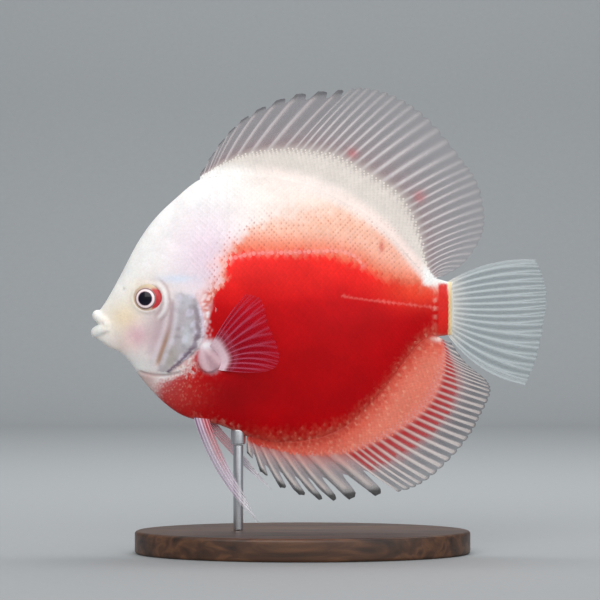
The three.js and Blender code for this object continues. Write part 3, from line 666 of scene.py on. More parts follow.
def markings(x, z, grain):
    """Colour of the hide at a point of the side view. grain, -1 to 1, sets one scale apart."""
    colour = np.ones(np.shape(x) + (3,)) * WHITE
    lay = layers(colour)
    fine = ripple(x, z, 1.3, 5)
    shoulder_marks(lay, x, z, fine)
    flank_marks(lay, x, z, grain, fine)
    edge_marks(lay, x, z, grain, fine)
    line_marks(lay, x, z)
    lay_clouds(lay, x, z, HEAD_CLOUDS)
    cover_marks(lay, x, z, fine)
    face_marks(lay, x, z)
    stalk_marks(lay, x, z)
    lobe_marks(lay, x, z, fine)
    # Painted highlight on the pectoral lobe, and the pale foot of the tail stalk.
    lay_clouds(lay, x, z, [LOBE_PAINTED_HIGHLIGHT, STALK_FOOT])
    return colour


def paint(piece, colours):
    """Keeps a colour for each vertex of a piece, for its material to read."""
    layer = piece.data.color_attributes.new("marking", "FLOAT_COLOR", "POINT")
    values = np.concatenate([colours.reshape(-1, 3), np.ones((len(piece.data.vertices), 1))], 1)
    layer.data.foreach_set("color", values.astype(np.float32).ravel())


def mottle_group():
    """Fine cloudy unevenness of a living hide: gives the colour back a little uneven, and a height."""
    group = bpy.data.node_groups.new("hide_mottle", "ShaderNodeTree")
    socket = group.interface.new_socket
    socket("Colour", in_out="INPUT", socket_type="NodeSocketColor")
    socket("Size", in_out="INPUT", socket_type="NodeSocketFloat")
    socket("Amount", in_out="INPUT", socket_type="NodeSocketFloat")
    socket("Colour", in_out="OUTPUT", socket_type="NodeSocketColor")
    socket("Height", in_out="OUTPUT", socket_type="NodeSocketFloat")
    nodes, links = group.nodes, group.links
    given, out = nodes.new("NodeGroupInput"), nodes.new("NodeGroupOutput")
    place = nodes.new("ShaderNodeTexCoord")
    cloud = nodes.new("ShaderNodeTexNoise")
    cloud.inputs["Detail"].default_value = 6
    cloud.inputs["Roughness"].default_value = 0.62
    links.new(place.outputs["Object"], cloud.inputs["Vector"])
    links.new(given.outputs["Size"], cloud.inputs["Scale"])
    centred = nodes.new("ShaderNodeMath")
    centred.operation = "SUBTRACT"
    centred.inputs[1].default_value = 0.5
    links.new(cloud.outputs["Fac"], centred.inputs[0])
    scaled = nodes.new("ShaderNodeMath")
    scaled.operation = "MULTIPLY_ADD"
    scaled.inputs[2].default_value = 1
    links.new(centred.outputs[0], scaled.inputs[0])
    links.new(given.outputs["Amount"], scaled.inputs[1])
    shade = nodes.new("ShaderNodeVectorMath")
    shade.operation = "SCALE"
    links.new(given.outputs["Colour"], shade.inputs[0])
    links.new(scaled.outputs[0], shade.inputs["Scale"])
    links.new(shade.outputs["Vector"], out.inputs["Colour"])
    links.new(cloud.outputs["Fac"], out.inputs["Height"])
    return group


hide_mottle = mottle_group()


def painted(nodes, links, shader, mottles):
    """Gives a shader the painted markings through one or more mottles, and returns the last of them."""
    marking = nodes.new("ShaderNodeVertexColor")
    marking.layer_name = "marking"
    colour = marking.outputs["Color"]
    for size, amount in mottles:
        mottle = nodes.new("ShaderNodeGroup")
        mottle.node_tree = hide_mottle
        mottle.inputs["Size"].default_value = size
        mottle.inputs["Amount"].default_value = amount
        links.new(colour, mottle.inputs["Colour"])
        colour = mottle.outputs["Colour"]
    links.new(colour, shader.inputs["Base Color"])
    return mottle


def grained(nodes, links, shader, height, strength, distance):
    """Roughens a shader's surface by a height, distance metres high at full strength."""
    bump = nodes.new("ShaderNodeBump")
    bump.inputs["Strength"].default_value = strength
    bump.inputs["Distance"].default_value = distance
    links.new(height, bump.inputs["Height"])
    links.new(bump.outputs["Normal"], shader.inputs["Normal"])


def flesh_material(name, roughness, depth):
    """Wet living skin: painted markings, a little uneven, under a thin clear slime coat."""
    made, nodes, links, shader = node_material(name)
    small = painted(nodes, links, shader, [(120, 0.35), (1400, 0.3)])
    shader.inputs["Roughness"].default_value = roughness
    shader.inputs["Specular IOR Level"].default_value = 0.1
    shader.inputs["Coat Weight"].default_value = 0.03
    shader.inputs["Coat Roughness"].default_value = 0.12
    shader.inputs["Subsurface Weight"].default_value = depth
    shader.inputs["Subsurface Radius"].default_value = (1.0, 0.35, 0.2)
    shader.inputs["Subsurface Scale"].default_value = 0.0015
    grained(nodes, links, shader, small.outputs["Height"], 0.25, 0.0002)
    return made


# Lines of relief: the line, how far beside it, breadth and height, where a minus is pressed in.
RELIEF_LINES = [
    (PREOPERCLE, 0, 0.8, -0.22), (PREOPERCLE, 1.8, 1.0, 0.2), (CHEEK_FOLD, 0, 1.2, 0.07),
    (THROAT_LINE, 0, 0.6, -0.35), (ORBIT_LINE, 0, 0.7, 0.16),
]
COVER_EDGE, COVER_FOLDS = 0.65, 0.12
NOSTRIL_DEPTH, NOSTRIL_LIP = 0.35, 0.03
HEAD_SWELL = 0.09
x, y, z = skin_at.T
side = np.where(y < 0, -1.0, 1.0)
on_flank = step(np.abs(skin_out[:, 1]), 0.2, 0.5)
cover_down, cover_back = cover_place(x, z)
on_cover = (cover_back > 0) & (cover_back < 1)
raised = np.where(on_cover, COVER_EDGE * np.clip(cover_back, 0, 1) ** 2, 0) * step(cover_down, 0, 0.1)
for line, beside, breadth, height in RELIEF_LINES:
    away, ends = distance_to(line, x, z)
    raised = raised + height * np.exp(-(((away - beside) / breadth) ** 2)) * ends
raised = raised + COVER_FOLDS * ripple(x, z, 2.8, 6) * on_cover * step(cover_back, 0.3, 0.7)
nostril = np.hypot(x - NOSTRIL_X, z - NOSTRIL_Z)
raised = raised - NOSTRIL_DEPTH * np.exp(-((nostril / 0.55) ** 2))
raised = raised + NOSTRIL_LIP * np.exp(-(((nostril - 1.2) / 0.5) ** 2))
raised = raised + HEAD_SWELL * ripple(x, z, 5.0, 1) * (x < -44)
skin_at = skin_at + skin_out * (raised * on_flank)[:, None]
for s in (-1, 1):
    at, out = flank_frame(s, EYE_X, EYE_Z)
    depth = (skin_at - np.array(at)) @ np.array(out)
    radial = np.hypot((x - EYE_X) / OPENING_X, (z - EYE_Z) / OPENING_Z)
    bowl = (radial < 1) & (side == s) & (np.abs(depth) < 6)
    pressed = EYE_BOWL * (1 - np.clip(radial, 0, 1) ** 6)
    skin_at[bowl] -= (pressed[:, None] * np.array(out))[bowl]
gape = np.exp(-(((z - GAPE_Z) / 0.55) ** 2)) * step(x, -75.2, -76.8)
skin_at[:, 0] += GAPE_DEPTH * gape * (skin_out[:, 0] < -0.1)

skin = mesh_object("skin", room(skin_at), quads)
paint(skin, markings(x, z, 0))
hide = flesh_material("skin_hide", roughness=0.42, depth=0.12)
skin.data.materials.append(hide)
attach(skin, "root")
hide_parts("head", "trunk", "tail_stalk", "gill_cover_left", "gill_cover_right")

# Eyes: glossy balls set in the orbits, each with a pale ring round a dark pupil. The ball bulges
# over the ring, as the clear cornea does, and is flushed with red towards the tail.
EYE_PROFILE = [
    (0, -3), (3.2, -2.4), (4.9, -1.1), (5.3, 0), (5.1, 0.8), (4.3, 1.4), (3.3, 1.75), (2, 1.95), (0, 2),
]
EYE_SUNK = 0.9
PUPIL_X, PUPIL_Z = -60.6, 0.5
IRIS_RADIUS = 3.4
CORNEA_RISE = 0.95
RING_REACH = 6  # where the ring colours end, from the middle of the pupil


def eye_rings(at, out):
    """The eyeball turned round the line out of the flank, set a little deep in its orbit."""
    outline = curve(EYE_PROFILE, np.linspace(0, len(EYE_PROFILE) - 1, 110))
    outline[:, 0] = np.maximum(outline[:, 0], 0.001)
    turn = np.array(out.to_track_quat("Z", "Y").to_matrix())
    a = np.linspace(0, 2 * math.pi, 96, endpoint=False)
    rings = np.stack([
        outline[:, 0][:, None] * np.cos(a),
        outline[:, 0][:, None] * np.sin(a),
        np.repeat(outline[:, 1][:, None], len(a), 1),
    ], 2)
    return rings @ turn.T + np.array(at) - np.array(out) * EYE_SUNK


def fill_ramp(ramp, stops):
    """Sets the stops of a colour ramp, each a place from 0 to 1 and a given shade."""
    while len(ramp.color_ramp.elements) < len(stops):
        ramp.color_ramp.elements.new(0.5)
    for stop, (at, shade) in zip(ramp.color_ramp.elements, stops):
        stop.position = at
        stop.color = (*linear(*shade), 1)


def eye_material():
    """Wet eye: black pupil, pale iris ring with fine radial threads, a dark line, and red behind."""
    made, nodes, links, shader = node_material("eye_ball")
    reach, behind = nodes.new("ShaderNodeAttribute"), nodes.new("ShaderNodeAttribute")
    reach.attribute_name, behind.attribute_name = "from_pupil", "behind"
    fibres = nodes.new("ShaderNodeTexNoise")
    fibres.inputs["Scale"].default_value = 2600
    fibres.inputs["Detail"].default_value = 4
    place = nodes.new("ShaderNodeTexCoord")
    links.new(place.outputs["Object"], fibres.inputs["Vector"])
    uneven = nodes.new("ShaderNodeMath")
    uneven.operation = "MULTIPLY_ADD"
    uneven.inputs[1].default_value = 0.035
    links.new(fibres.outputs["Fac"], uneven.inputs[0])
    links.new(reach.outputs["Fac"], uneven.inputs[2])
    rings = nodes.new("ShaderNodeValToRGB")
    fill_ramp(rings, [
        (0.0, (6, 4, 18)), (0.39, (10, 8, 30)), (0.42, (110, 84, 100)), (0.445, (250, 226, 230)),
        (0.54, (254, 240, 240)), (0.57, (190, 150, 156)), (0.6, (112, 84, 92)),
        (0.64, (206, 176, 156)), (0.8, (222, 202, 168)), (1.0, (236, 220, 196)),
    ])
    links.new(uneven.outputs[0], rings.inputs["Fac"])
    blood = nodes.new("ShaderNodeMix")
    blood.data_type = "RGBA"
    blood.inputs["B"].default_value = (*linear(196, 28, 48), 1)
    links.new(behind.outputs["Fac"], blood.inputs["Factor"])
    links.new(rings.outputs["Color"], blood.inputs["A"])
    links.new(blood.outputs["Result"], shader.inputs["Base Color"])
    shader.inputs["Roughness"].default_value = 0.35
    shader.inputs["Specular IOR Level"].default_value = 0.1
    shader.inputs["Coat Weight"].default_value = 0.35
    shader.inputs["Coat Roughness"].default_value = 0.03
    return made


wet_eye = eye_material()
for name, s in (("left", -1), ("right", 1)):
    at, out = flank_frame(s, EYE_X, EYE_Z)
    places, faces = closed_grid(eye_rings(at, out))
    away = np.hypot(places[:, 0] - PUPIL_X, places[:, 2] - PUPIL_Z)
    front = (places - np.array(at)) @ np.array(out) > -1.2
    dome = np.sqrt(np.clip(1 - (away / (IRIS_RADIUS + 0.35)) ** 2, 0, 1)) * CORNEA_RISE * front
    places = places + np.array(out) * dome[:, None]
    eye = mesh_object("eyeball_" + name, room(places), faces)
    level = np.abs(places[:, 2] - PUPIL_Z)
    red = step(places[:, 0] - PUPIL_X, 1.6, 2.6) * step(away, 3.5, 3.8) * step(level, 4.4, 2.8)
    for mark, values in (("from_pupil", away / RING_REACH), ("behind", red * 0.95)):
        layer = eye.data.attributes.new(mark, "FLOAT", "POINT")
        layer.data.foreach_set("value", values.astype(np.float32))
    eye.data.materials.append(wet_eye)
    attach(eye, "root")
    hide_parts("eye_" + name)

# Fins: thin elastic webs over bony rays, each one closed sheet ribbed by its rays. The dorsal and
# anal fin leave the body in a thick scaled sheath.
DORSAL_RAYS = [
    [(-42, 42.9), (-41.8, 43.8), (-41.3, 45)], [(-40.3, 43.3), (-38.7, 45.7), (-34.3, 55.9)],
    [(-37.5, 43.8), (-35, 48.2), (-24.8, 65.1)], [(-31.8, 44.1), (-25.1, 52.4), (-10, 71.9)],
    [(-21.3, 44.1), (-11.8, 54.2), (6.5, 73.8)], [(-12.1, 42.9), (-2.3, 53.8), (17.4, 74.5)],
    [(-4.7, 40.8), (7.2, 51.7), (28.3, 71)], [(3.7, 37.6), (16.4, 46.8), (38.9, 63.3)],
    [(14.9, 31.3), (28.3, 38.7), (49.4, 50.3)], [(22.7, 25.3), (33.6, 30.9), (55.4, 41.5)],
    [(29, 19), (36.7, 22.2), (58, 30.6)], [(33.6, 13.4), (37.8, 14.8), (56.8, 21.8)],
    [(37.8, 8.8), (39.6, 9.5), (50.5, 12.7)], [(40.3, 7.8), (41.3, 8), (43.4, 8.4)],
]
ANAL_RAYS = [
    [(-25.5, -48.2), (-25.5, -49.6), (-25.3, -53.8)], [(-24.4, -48.5), (-23.6, -50.6), (-20.6, -60.1)],
    [(-22.3, -49.2), (-20.9, -51.7), (-13.5, -65.8)], [(-16, -50.5), (-13.5, -53.6), (-0.2, -70.3)],
    [(-7.9, -50.5), (-3.7, -55.2), (10.7, -70)], [(1.9, -48.5), (10.7, -54.5), (28.3, -67.3)],
    [(9, -45), (18.8, -51.7), (37.1, -63.6)], [(14.9, -40.4), (28.3, -47.1), (45.9, -55.9)],
    [(20.6, -34.8), (36.4, -41), (52.9, -47.5)], [(25.5, -28.5), (41.7, -34.5), (57.1, -39.7)],
    [(29.7, -23.2), (44.5, -27.4), (60, -32.6)], [(33.9, -17.8), (45, -22.2), (58.4, -28)],
    [(37.8, -14.6), (44.8, -18.5), (51.6, -22.4)], [(40.3, -13), (43.2, -13.9), (46.3, -15)],
]
CAUDAL_RAYS = [
    [(44.4, 6), (59.3, 12.6), (76.3, 14.2)], [(44.4, 2.6), (61.7, 6), (79.2, 7)],
    [(44.4, -1.4), (62.4, -1.1), (80.2, 0)], [(44.4, -5.4), (61.7, -8.1), (79.1, -7.7)],
    [(44.4, -8.8), (60.3, -16.6), (76.7, -20)], [(44.4, -11.4), (57.8, -24.4), (72.6, -30.1)],
]
PECTORAL_RAYS = [
    [(-37.8, -15.5), (-31.8, -6), (-25.5, 2.1)], [(-36.4, -16.9), (-29, -7.7), (-20.2, 0)],
    [(-35, -18.6), (-26.9, -12.7), (-18.1, -7.7)], [(-34.2, -20.7), (-25.5, -17.6), (-14.2, -17.9)],
    [(-34.2, -22.5), (-25.1, -21.5), (-15.3, -23.2)], [(-34.8, -24.3), (-26.9, -25), (-20.2, -25)],
]
PELVIC_RAYS = {
    "left": [
        [(-44.1, -41.4), (-36.7, -58.7), (-21.1, -77.9)], [(-42.4, -41.5), (-35.3, -58), (-23, -74.5)],
        [(-40.6, -41.7), (-33.9, -57.3), (-24.8, -71)], [(-38.9, -42), (-32.7, -56.6), (-27.3, -66.5)],
    ],
    "right": [
        [(-41.7, -41.4), (-31.1, -54.3), (-17.1, -66.8)], [(-40.3, -41.6), (-30.4, -53.3), (-19.5, -64)],
        [(-38.9, -41.9), (-29.7, -52.6), (-22, -61.2)], [(-37.5, -42.2), (-29.4, -51.9), (-24.8, -57.8)],
    ],
}
WEB_HALF = 0.22
SPINE_RIDGE, RAY_RIDGE = 0.3, 0.17


def ray_fan(rays, place, along):
    """Points of a fan of rays: place is counted in rays, along runs from 0 at the foot to 1."""
    rays = np.array(rays, float)
    foot, middle, tip = (curve(rays[:, k], place) for k in range(3))
    near, far = np.linalg.norm(foot - middle, axis=-1), np.linalg.norm(middle - tip, axis=-1)
    knee = near / (near + far)
    u, k = along[..., None], knee[..., None]
    points = foot * (u - k) * (u - 1) / k + middle * u * (u - 1) / (k * (k - 1))
    return points + tip * u * (u - k) / (1 - k), knee


def web_sheet(name, middle, half, tint, cover):
    """A closed sheet round a grid of middle points, with the colour and cover of each point."""
    across = np.gradient(middle, axis=0)
    along = np.gradient(middle, axis=1)
    out = np.cross(across, along)
    out /= np.maximum(np.linalg.norm(out, axis=2), 1e-9)[..., None]
    columns, rows = middle.shape[:2]
    near, far = middle + out * half[..., None], middle - out * half[..., None]
    places = np.concatenate([near.reshape(-1, 3), far.reshape(-1, 3)])
    top = grid_faces(columns, rows)
    behind = columns * rows
    rim = np.concatenate([
        np.arange(columns - 1) * rows, (columns - 1) * rows + np.arange(rows - 1),
        (columns - 1 - np.arange(columns - 1)) * rows + rows - 1, np.arange(rows - 1, 0, -1),
    ])
    after = np.roll(rim, -1)
    edge = np.stack([after, rim, rim + behind, after + behind], 1)
    made = mesh_object(name, room(places), np.concatenate([top, top[:, ::-1] + behind, edge]))
    paint(made, np.concatenate([tint.reshape(-1, 3)] * 2))
    layer = made.data.attributes.new("cover", "FLOAT", "POINT")
    through_one_face = 1 - np.sqrt(1 - np.clip(cover, 0, 1).ravel())
    layer.data.foreach_set("value", np.concatenate([through_one_face] * 2).astype(np.float32))
    made.data.materials.append(fin_web)
    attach(made, "root")
    return made


def web_material():
    """Clear elastic fin web, tinted and clouded where the rays and the scaled sheath thicken it."""
    made, nodes, links, shader = node_material("fin_web")
    small = painted(nodes, links, shader, [(900, 0.3)])
    cover = nodes.new("ShaderNodeAttribute")
    cover.attribute_name = "cover"
    links.new(cover.outputs["Fac"], shader.inputs["Alpha"])
    shader.inputs["Roughness"].default_value = 0.45
    shader.inputs["Specular IOR Level"].default_value = 0.12
    grained(nodes, links, shader, small.outputs["Height"], 0.2, 0.0002)
    return made


fin_web = web_material()


def ray_relief(ray_count, beyond):
    """Crests of soft rays that fork in two halfway out, and how far a point is from its ray."""
    away = np.abs(ray_count - np.round(ray_count))
    forked = step(beyond, 0.55, 1)
    near = np.abs(away - 0.21 * forked)
    return np.exp(-((near / mix(0.15, 0.09, forked)) ** 2)), away


# How far the web is notched on the way from one spine to the next.
NOTCH_PLACES = [0, 0.3, 0.5, 0.6, 0.7, 0.8, 0.93, 1]
NOTCH_DEPTHS = [0, 0.06, 0.22, 0.42, 0.8, 1, 0.9, 0]
SHEATH_HALF = 0.55
FOOT_SWELL, FOOT_FALL = 1.65, 1.8  # how much thicker the foot is at the body, and how soon it thins


def fin_columns(spines, soft_from, soft_rays, last):
    """Places of a web's columns, how far each is past its spine, and the soft ray it is counted to."""
    edges = np.array([*spines, soft_from])
    gaps = [np.linspace(a, b, 14, endpoint=False) for a, b in zip(edges[:-1], edges[1:])]
    place = np.concatenate([*gaps, np.linspace(soft_from, last, soft_rays * 12 + 1)])
    i = np.clip(np.searchsorted(edges, place, side="right") - 1, 0, len(edges) - 2)
    within = np.clip((place - edges[i]) / (edges[i + 1] - edges[i]), 0, 1)
    return place, within, (place - soft_from) / (last - soft_from) * soft_rays


def sheath_half(fin_x, fin_z, dorsal_side, ends):
    """Half thickness of the sheath: a foot spread on the body, kept under the skin inside it."""
    outline, up = (back_z, 1) if dorsal_side else (belly_z, -1)
    slope = outline(fin_x + 0.5) - outline(fin_x - 0.5)
    rise = up * (fin_z - outline(fin_x)) / np.sqrt(1 + slope**2)
    foot = SHEATH_HALF + FOOT_SWELL * np.exp(-(np.maximum(rise, -3) + 1) / FOOT_FALL) * ends[:, None]
    inside_body = np.maximum(flank_y(fin_x, fin_z) - 0.15, 0.4)
    return np.where(rise < -0.9, np.minimum(foot, inside_body), foot)


def sheathed_fin(name, rays, spines, soft, notch, sway, bury, colouring):
    """A fin with spines at the given places in front and soft rays behind them, in a thick sheath.

    soft holds where the soft rays begin and how many they are, sway is the sideways wave at the
    edge, and bury is how far the feet of the rays lie inside the body.
    """
    rays = [[(f[0], f[1] + bury), m, t] for f, m, t in rays]
    last = len(rays) - 1
    place, within, ray_count = fin_columns(spines, *soft, last)
    spiny = place < soft[0]
    cut = np.interp(within, NOTCH_PLACES, NOTCH_DEPTHS) * notch
    soft_away = np.abs(ray_count - np.round(ray_count))
    reach = np.where(spiny, 1 - cut, 1 - 0.02 * (soft_away * 2) ** 2)
    stations = np.linspace(0, 1, 72)
    place_grid = np.repeat(place[:, None], len(stations), 1)
    _, knee = ray_fan(rays, place, np.full(len(place), 0.5))
    u = stations[None] * reach[:, None]
    points, _ = ray_fan(rays, place_grid, u)
    fin_x, fin_z = points[..., 0], points[..., 1]
    middle = np.stack([fin_x, sway * u**2 * np.sin(1.3 * place_grid), fin_z], 2)
    beyond = (u - knee[:, None]) / (1 - knee[:, None])
    soft_crest, _ = ray_relief(ray_count[:, None], beyond)
    spine_away = np.minimum(within, 1 - within)[:, None]
    spine_crest = np.exp(-((spine_away / 0.1) ** 2)) * np.ones_like(u)
    crest = np.where(spiny[:, None], spine_crest, soft_crest)
    foot = sheath_half(fin_x, fin_z, bury < 0, step(place, 0, 1.5) * step(last - place, 0, 0.8))
    ridge = np.where(spiny, SPINE_RIDGE, RAY_RIDGE)[:, None]
    free = WEB_HALF + ridge * crest * (1.15 - 0.4 * u)
    half = mix(foot, free, step(beyond, -0.3, 0.15))
    tint, cover = colouring(
        fin_x, fin_z, beyond, crest, spiny[:, None], within[:, None], soft_away[:, None], place_grid
    )
    return web_sheet(name, middle, half, tint, cover)


def dorsal_colours(x, z, beyond, crest, spiny, within, away, place):
    tint = markings(x, z, 0)
    lay = layers(tint)
    out = step(beyond, -0.12, 0.12)
    band = np.where(spiny, np.exp(-(((within - 0.1) / 0.16) ** 2)), np.exp(-((away / 0.2) ** 2)))
    lay(linear(190, 174, 170), 0.5 * (1 - band) * step(beyond, -0.7, 0.0))
    lay(linear(140, 128, 132), out)
    lay(linear(212, 200, 200), 0.85 * out * band)
    lay(linear(250, 244, 246), 0.5 * out * crest * step(beyond, 1, 0.3))
    lay(linear(206, 150, 150), 0.25 * out * np.exp(-((beyond / 0.3) ** 2)) * (1 - band))
    for spot_x, spot_z in ((11.4, 51.3), (35.2, 36.4)):
        lay(linear(206, 84, 92), 0.8 * out * patch(x, z, spot_x, spot_z, 2.0, 2.0))
    dark = np.where(spiny, step(beyond, 0.82, 0.96), 0.35 * step(beyond, 0.93, 1))
    lay(linear(40, 36, 44), 0.85 * dark)
    thin = step(beyond, 0.2, 1) * (1 - 0.65 * spiny)
    cover = mix(0.5, 0.78, np.clip(band + 0.3 * crest, 0, 1)) * mix(1, 0.5, thin)
    cover = np.maximum(cover, 0.65 * dark)
    return tint, mix(cover, 1, 1 - step(beyond, -0.15, 0.25))


def anal_colours(x, z, beyond, crest, spiny, within, away, place):
    tint = markings(x, z, 0)
    lay = layers(tint)
    out = step(beyond, -0.1, 0.1)
    lay(linear(212, 132, 130), 0.5 * step(beyond, -0.7, -0.1) * step(place, 3.5, 6))
    band = np.where(spiny, np.exp(-(((within - 0.3) / 0.2) ** 2)), np.exp(-((away / 0.23) ** 2)))
    lay(linear(230, 176, 170), 0.5 * band * step(beyond, -0.35, 0.0) * (1 - out))
    lay(linear(134, 112, 120), out)
    lay(linear(222, 208, 200), 0.9 * out * band)
    lay(linear(246, 240, 236), 0.4 * out * crest * (1 - spiny))
    dash_end = mix(0.55, 0.25, step(place, 8.5, 12)) + 0.05 * ripple(x, z, 3, 1)
    dashes = step(away, 0.1, 0.3) * (1 - spiny) * step(beyond, -0.15, 0.02)
    dashes = dashes * step(beyond, dash_end, dash_end - 0.25)
    lay(linear(190, 24, 28), 0.92 * dashes)
    lay(linear(228, 140, 130), 0.65 * out * step(beyond, 0.5, 0.0) * (1 - dashes))
    between = step(away, 0.16, 0.36) * (1 - spiny)
    lay(linear(36, 26, 38), 0.9 * between * step(beyond, 0.3, 0.75))
    leading = np.exp(-(((within - 0.02) / 0.14) ** 2)) * step(beyond, 0.0, 0.3)
    trailing = 0.6 * np.exp(-(((within - 0.66) / 0.06) ** 2)) * step(beyond, 0.1, 0.4)
    tip = step(beyond, 0.66, 0.9)
    spine_edge = np.maximum(np.maximum(tip, 0.85 * leading), trailing)
    edge = np.where(spiny, spine_edge, 0.8 * step(beyond, 0.93, 1))
    lay(linear(16, 14, 12), 0.95 * edge * out)
    cover = mix(0.6, 0.86, np.clip(band + 0.3 * crest, 0, 1)) * mix(1, 0.75, step(beyond, 0.4, 1))
    cover = np.maximum(cover, np.maximum(0.88 * dashes, 0.9 * edge))
    return tint, mix(cover, 1, 1 - step(beyond, -0.1, 0.25))


DORSAL_SPINES = [i * 4 / 9 for i in range(10)]
ANAL_SPINES = [0, 1, 2, 2.5, 3, 3.5, 4, 4.5]
DORSAL_BURY, ANAL_BURY = -1.6, 1.6
dorsal = sheathed_fin(
    "dorsal_web", DORSAL_RAYS, DORSAL_SPINES, soft=(4.4, 30), notch=0.1, sway=1.2, bury=DORSAL_BURY,
    colouring=dorsal_colours,
)
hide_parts("dorsal_fin")
anal = sheathed_fin(
    "anal_web", ANAL_RAYS, ANAL_SPINES, soft=(4.95, 28), notch=0.42, sway=-1.2, bury=ANAL_BURY,
    colouring=anal_colours,
)
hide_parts("anal_fin")


def open_fan(name, rays, count, place_of, half_of, colouring, notch=0.02):
    """A fan of count soft rays that rises straight from the flesh, its edge notched between them."""
    last = len(rays) - 1
    place = np.linspace(0, last, count * 12 + 1)
    stations = np.linspace(0, 1, 72)
    ray_count = place / last * count
    away = np.abs(ray_count - np.round(ray_count))
    ragged = 1 - notch * (0.75 + 0.25 * np.sin(7 * place)) * (away * 2) ** 1.5
    u = stations[None] * ragged[:, None]
    place_grid = np.repeat(place[:, None], len(stations), 1)
    points, _ = ray_fan(rays, place_grid, u)
    part = place_grid / last
    middle = place_of(points, u, part)
    crest, away = ray_relief(ray_count[:, None], u)
    tint, cover = colouring(u, part, crest, away * np.ones_like(u))
    return web_sheet(name, middle, half_of(points, u, crest), tint, cover)


TAIL_BEND = 2.4  # how far the edge of the tail fin leans to the right


def tail_place(points, u, part):
    return np.stack([points[..., 0], TAIL_BEND * u**2, points[..., 1]], 2)


def tail_half(points, u, crest):
    free = WEB_HALF + RAY_RIDGE * crest
    root = np.minimum(2, flank_y(STALK_END_X, points[..., 1]) - 0.2)
    return mix(np.maximum(root, free), free, step(u, 0, 0.25))


def tail_colours(u, part, crest, away):
    tint = np.ones(u.shape + (3,)) * linear(122, 138, 142)
    lay = layers(tint)
    far = step(u, 0.5, 1)
    band = np.exp(-(((away - 0.21 * far) / mix(0.3, 0.16, far)) ** 2))
    lay(linear(204, 214, 216), 0.9 * band)
    lay(linear(242, 246, 248), 0.5 * crest * mix(1, 0.2, u))
    margin = np.maximum(step(part, 0.1, 0.02), step(part, 0.92, 0.98))
    lay(linear(210, 218, 220), 0.8 * margin)
    root = step(u, 0.3, 0.0)
    lay(linear(240, 234, 226), 0.8 * root)
    cover = np.maximum(mix(0.5, 0.8, band), 0.75 * margin) * mix(1, 0.7, u)
    return tint, mix(cover, 1, 0.9 * root**2)


tail = open_fan("tail_web", CAUDAL_RAYS, 15, tail_place, tail_half, tail_colours)
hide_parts("tail_fin")


def pectoral_colours(u, part, crest, away):
    tint = np.ones(u.shape + (3,)) * linear(176, 14, 50)
    lay = layers(tint)
    lay(linear(226, 126, 160), 0.75 * crest * mix(1, 0.45, u))
    lay(linear(240, 212, 222), 0.9 * step(u, 0.22, 0.1))
    lay(linear(206, 120, 150), 0.5 * np.exp(-(((u - 0.26) / 0.04) ** 2)))
    cover = mix(0.42, 0.8, crest) * mix(1, 0.62, step(u, 0.4, 1))
    return tint, mix(cover, 1, step(u, 0.26, 0.12))


def pelvic_colours(name):
    def colours(u, part, crest, away):
        tint = np.ones(u.shape + (3,)) * linear(214, 190, 214)
        lay = layers(tint)
        inner = step(part, 0.3, 0.7)
        rosy = 0.9 * inner if name == "left" else 0.9 + 0 * inner
        lay(linear(206, 60, 74), rosy * step(u, 0.7, 0.35))
        streak = np.exp(-(((part - 0.12) / 0.14) ** 2)) if name == "left" else step(u, 0.45, 0.6)
        lay(linear(96, 66, 112), 0.7 * streak * step(u, 0.85, 0.6))
        lay(linear(120, 60, 76), 0.5 * step(away, 0.25, 0.45) * step(u, 0.9, 0.5))
        lay(linear(250, 246, 252), 0.9 * step(u, 0.7, 0.85))
        lay(linear(252, 240, 246), 0.5 * crest)
        cover = mix(0.5, 0.92, np.clip(crest + 0.4 * (0.5 - away), 0, 1)) * mix(1, 0.85, u)
        return tint, mix(cover, 0.98, step(u, 0.25, 0.05))
    return colours


PECTORAL_SPREAD = (12.5, 6.5)  # how far the tips of the first and last ray stand off the flank
PELVIC_FOOT, PELVIC_SPREAD = 2.2, 4.2


def side_fins(name, s):
    """The pectoral and pelvic fin of one side."""
    def pectoral_place(points, u, part):
        out = -1 + (mix(*PECTORAL_SPREAD, part) + 1) * u**0.85
        flank = flank_y(points[..., 0], points[..., 1])
        return np.stack([points[..., 0], s * (flank + out), points[..., 1]], 2)

    def pectoral_half(points, u, crest):
        return mix(1.1, WEB_HALF + RAY_RIDGE * crest, step(u, 0, 0.28))

    def pelvic_place(points, u, part):
        out = PELVIC_FOOT + PELVIC_SPREAD * np.sin(math.pi / 2 * u) - 0.8 * part * u
        return np.stack([points[..., 0], s * out, points[..., 1]], 2)

    def pelvic_half(points, u, crest):
        return mix(0.9, 0.24 + 0.14 * crest, step(u, 0, 0.22))

    pectoral = open_fan(
        "pectoral_web_" + name, PECTORAL_RAYS, 11, pectoral_place, pectoral_half, pectoral_colours
    )
    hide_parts("pectoral_fin_" + name)
    pelvic = open_fan(
        "pelvic_web_" + name, PELVIC_RAYS[name], 5, pelvic_place, pelvic_half, pelvic_colours(name), 0.3
    )
    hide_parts("pelvic_fin_" + name)


side_fins("left", -1)
side_fins("right", 1)

